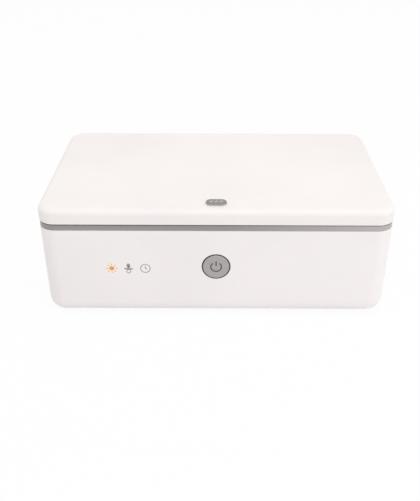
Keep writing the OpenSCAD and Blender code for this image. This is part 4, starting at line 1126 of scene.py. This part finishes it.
seal = carve(
    case_block(seal_inset, 92.82, groove_high, steps=16), [case_block(seal_inset + seal_w, 90, 97)]
)
silicone = Finish("silicone")
milky = silicone.noise(60)
dust = silicone.noise(1800)
silicone.shader.inputs["Subsurface Weight"].default_value = 0.15
silicone.shader.inputs["Subsurface Radius"].default_value = (0.001, 0.001, 0.001)
silicone.set(
    Base_Color=silicone.blend(milky, (0.58, 0.58, 0.57, 1), (0.68, 0.68, 0.67, 1)),
    Roughness=silicone.spread(dust, 0.3, 0.7, 0.42, 0.6),
    Normal=silicone.bump(dust, 0.15, 0.00002),
)
finished("seal", seal, "lid", silicone, ["lid_gasket"], edge=0.6, steps=4)


# Reflector
# A polished stainless plate lies on the frame's ledge and throws the lamps' light back into the
# chamber. It has an opening for each lamp and is held up by four screws.

mirror_inset = 2.0
mirror = carve(
    chamber_block(mirror_inset, mirror_low, mirror_high),
    uprights(lamp_hole, lamps_at, 90, 100, 48) + uprights(screw_pass, reflector_screws, 90, 100),
)
polished = metal("polished_steel", (0.8, 0.795, 0.79), 0.1, stroke=(18, 700, 700), depth=0.03,
                 spread=0.02)
finished("mirror", mirror, "lid", polished, ["lid_reflector"], edge=0.06)
mirror_heads = pan_screws(reflector_screws, mirror_low, length=7, turn=0.7, hung=True)
finished("mirror_heads", mirror_heads, "lid", screw_steel, ["reflector_screws"])


# Ribbon to the lid
# A flat grey ribbon of twelve conductors runs from the control board up behind the liner, past
# the hinge line and through slots in the band and the frame, to the connector in the lid.


def bent(mesh, place, heading, axis, moves):
    """Draws the open edges of a flat section along a path of runs and bends, as a bender does.

    A run is (length, pieces) and a bend is (radius, degrees about the axis, pieces)."""
    place, heading, axis = Vector(place), Vector(heading), Vector(axis)
    ring = [e for e in mesh.edges if e.is_boundary or e.is_wire]
    for move in moves:
        if len(move) == 2:
            length, pieces = move
            for _ in range(pieces):
                made = bmesh.ops.extrude_edge_only(mesh, edges=ring)["geom"]
                verts = [part for part in made if isinstance(part, bmesh.types.BMVert)]
                bmesh.ops.translate(mesh, vec=heading * (length / pieces), verts=verts)
                new = set(verts)
                ring = [
                    part for part in made
                    if isinstance(part, bmesh.types.BMEdge) and set(part.verts) <= new
                ]
            place = place + heading * length
        else:
            radius, degrees, pieces = move
            centre = place + axis.cross(heading) * math.copysign(radius, degrees)
            verts = list({vert for edge in ring for vert in edge.verts})
            made = bmesh.ops.spin(
                mesh, geom=verts + ring, cent=centre, axis=axis, angle=math.radians(degrees),
                steps=pieces,
            )["geom_last"]
            ring = [part for part in made if isinstance(part, bmesh.types.BMEdge)]
            turn = Matrix.Rotation(math.radians(degrees), 3, axis)
            place = centre + turn @ (place - centre)
            heading = turn @ heading
    return mesh, ring


ribbon_x, ribbon_w, ribbon_t, ribbon_bend = 15.0, 12.0, 0.8, 2.0
board_end, plug_z, ribbon_y, ribbon_high, ribbon_tip = 66.4, 13.15, 80.8, 101.2, 11.0
ribbon = bmesh.new()
bmesh.ops.create_grid(ribbon, x_segments=1, y_segments=1, size=0.5)
bmesh.ops.scale(ribbon, vec=(ribbon_w, ribbon_t, 1), verts=ribbon.verts)
bmesh.ops.rotate(ribbon, matrix=Matrix.Rotation(math.radians(90), 3, "X"), verts=ribbon.verts)
ribbon_start = (ribbon_x, board_end, plug_z)
moved(ribbon, *ribbon_start)
ribbon, ribbon_end = bent(
    ribbon, ribbon_start, (0, 1, 0), (1, 0, 0),
    [(ribbon_y - ribbon_bend - board_end, 3), (ribbon_bend, 90, 6),
     (ribbon_high - plug_z - 2 * ribbon_bend, 60), (ribbon_bend, 90, 6),
     (ribbon_y - ribbon_bend - ribbon_tip, 8)],
)
bmesh.ops.holes_fill(ribbon, edges=ribbon_end)
ribbon_finish = Finish("ribbon")
across = ribbon_finish.along("X")
core = ribbon_finish.node("ShaderNodeMath", {"operation": "FRACT"}, {0: across * 1000}) - 0.5
ridge = 1 - core * core * 4
marked = ribbon_finish.spread(across, 0.00999, 0.01001, 1.0, 0.0)
ribbon_dust = ribbon_finish.noise(700)
# Painted shade: the grey is darker in the narrow grooves between the conductors.
groove_shaded_grey = ribbon_finish.blend(
    ribbon_finish.spread(ridge, 0.0, 0.4, 0.0, 1.0), (0.2, 0.2, 0.2, 1), (0.4, 0.4, 0.4, 1)
)
ribbon_finish.set(
    Base_Color=ribbon_finish.blend(marked, groove_shaded_grey, (0.45, 0.05, 0.04, 1)),
    Roughness=ribbon_finish.spread(ribbon_dust, 0.3, 0.7, 0.4, 0.55),
    Normal=ribbon_finish.bump(ridge, 0.6, 0.00015),
)
ribbon = finished("ribbon", ribbon, None, ribbon_finish, ["lid_harness"], smooth=60)
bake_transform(ribbon)


# Wire rack
# The rack is bent from polished stainless wire and spot welded: a closed rim, seventeen cross
# wires on top of it, four legs in silicone caps and a loop at each end to lift it out by.

rim_z, rim_r, rack_x, rack_y, rack_corner = 33.0, 1.5, 124.5, 62.5, 9.0
cross_z, cross_r, cross_count, cross_y = 34.9, 1.0, 17, rack_y + 0.9
leg_x, leg_r, leg_low = 103.5, 1.35, 27.0
loop_r, loop_y, loop_z, loop_bend, loop_rise, loop_run = 1.2, -28.0, 33.6, 3.6, 9.8, 48.8


def wire_section(radius, place, along_x=False):
    mesh = bmesh.new()
    bmesh.ops.create_circle(mesh, cap_ends=False, segments=16, radius=radius)
    if along_x:
        turn = Matrix.Rotation(math.radians(90), 3, "Y")
        bmesh.ops.rotate(mesh, matrix=turn, verts=mesh.verts)
    return moved(mesh, *place)


side, end = 2 * (rack_x - rack_corner), 2 * (rack_y - rack_corner)
rim_bend = (rack_corner, 90, 12)
rim, _ = bent(
    wire_section(rim_r, (0, -rack_y, rim_z), along_x=True), (0, -rack_y, rim_z), (1, 0, 0),
    (0, 0, 1),
    [(side / 2, 1), rim_bend, (end, 1), rim_bend, (side, 1), rim_bend, (end, 1), rim_bend,
     (side / 2, 1)],
)
bmesh.ops.remove_doubles(rim, verts=rim.verts, dist=0.01)
wires = [rim]
for i in range(cross_count):
    x = (i - (cross_count - 1) / 2) * side / (cross_count - 1)
    wires.append(rod(cross_r, (x, -cross_y, cross_z), (x, cross_y, cross_z), 16, edge=0.3))
leg_places = corners(leg_x, rack_y)
wires += uprights(leg_r, leg_places, leg_low, rim_z, 16, edge=0.3)
rack_wire = metal("rack_wire", (0.72, 0.715, 0.71), 0.14, stroke=(160, 160, 160), depth=0.06)
finished("rack", gather(wires), "rack", rack_wire, ["wire_rack"], smooth=50)
loops = []
for x in (-rack_x, rack_x):
    start = (x, loop_y, loop_z)
    loop, _ = bent(
        wire_section(loop_r, start), start, (0, 0, 1), (-1, 0, 0),
        [(loop_rise, 1), (loop_bend, 90, 8), (loop_run, 1), (loop_bend, 90, 8), (loop_rise, 1)],
    )
    bmesh.ops.holes_fill(loop, edges=loop.edges)
    loops.append(loop)
finished("loops", gather(loops), "rack", rack_wire, ["rack_loops"], smooth=50)
leg_cap_r, leg_cap_high, leg_bore = 2.5, 30.0, 1.37
leg_cap = [
    (0, floor_z), (leg_cap_r - 0.3, floor_z), (leg_cap_r, floor_z + 0.3),
    (leg_cap_r, leg_cap_high - 0.4), (leg_cap_r - 0.3, leg_cap_high), (leg_bore, leg_cap_high),
    (leg_bore, leg_low), (0, leg_low),
]
leg_caps = gather([turned(leg_cap, (x, y, 0), (0, 0, 1), 24) for x, y in leg_places])
finished("leg_caps", leg_caps, "rack", silicone, ["rack_feet"])
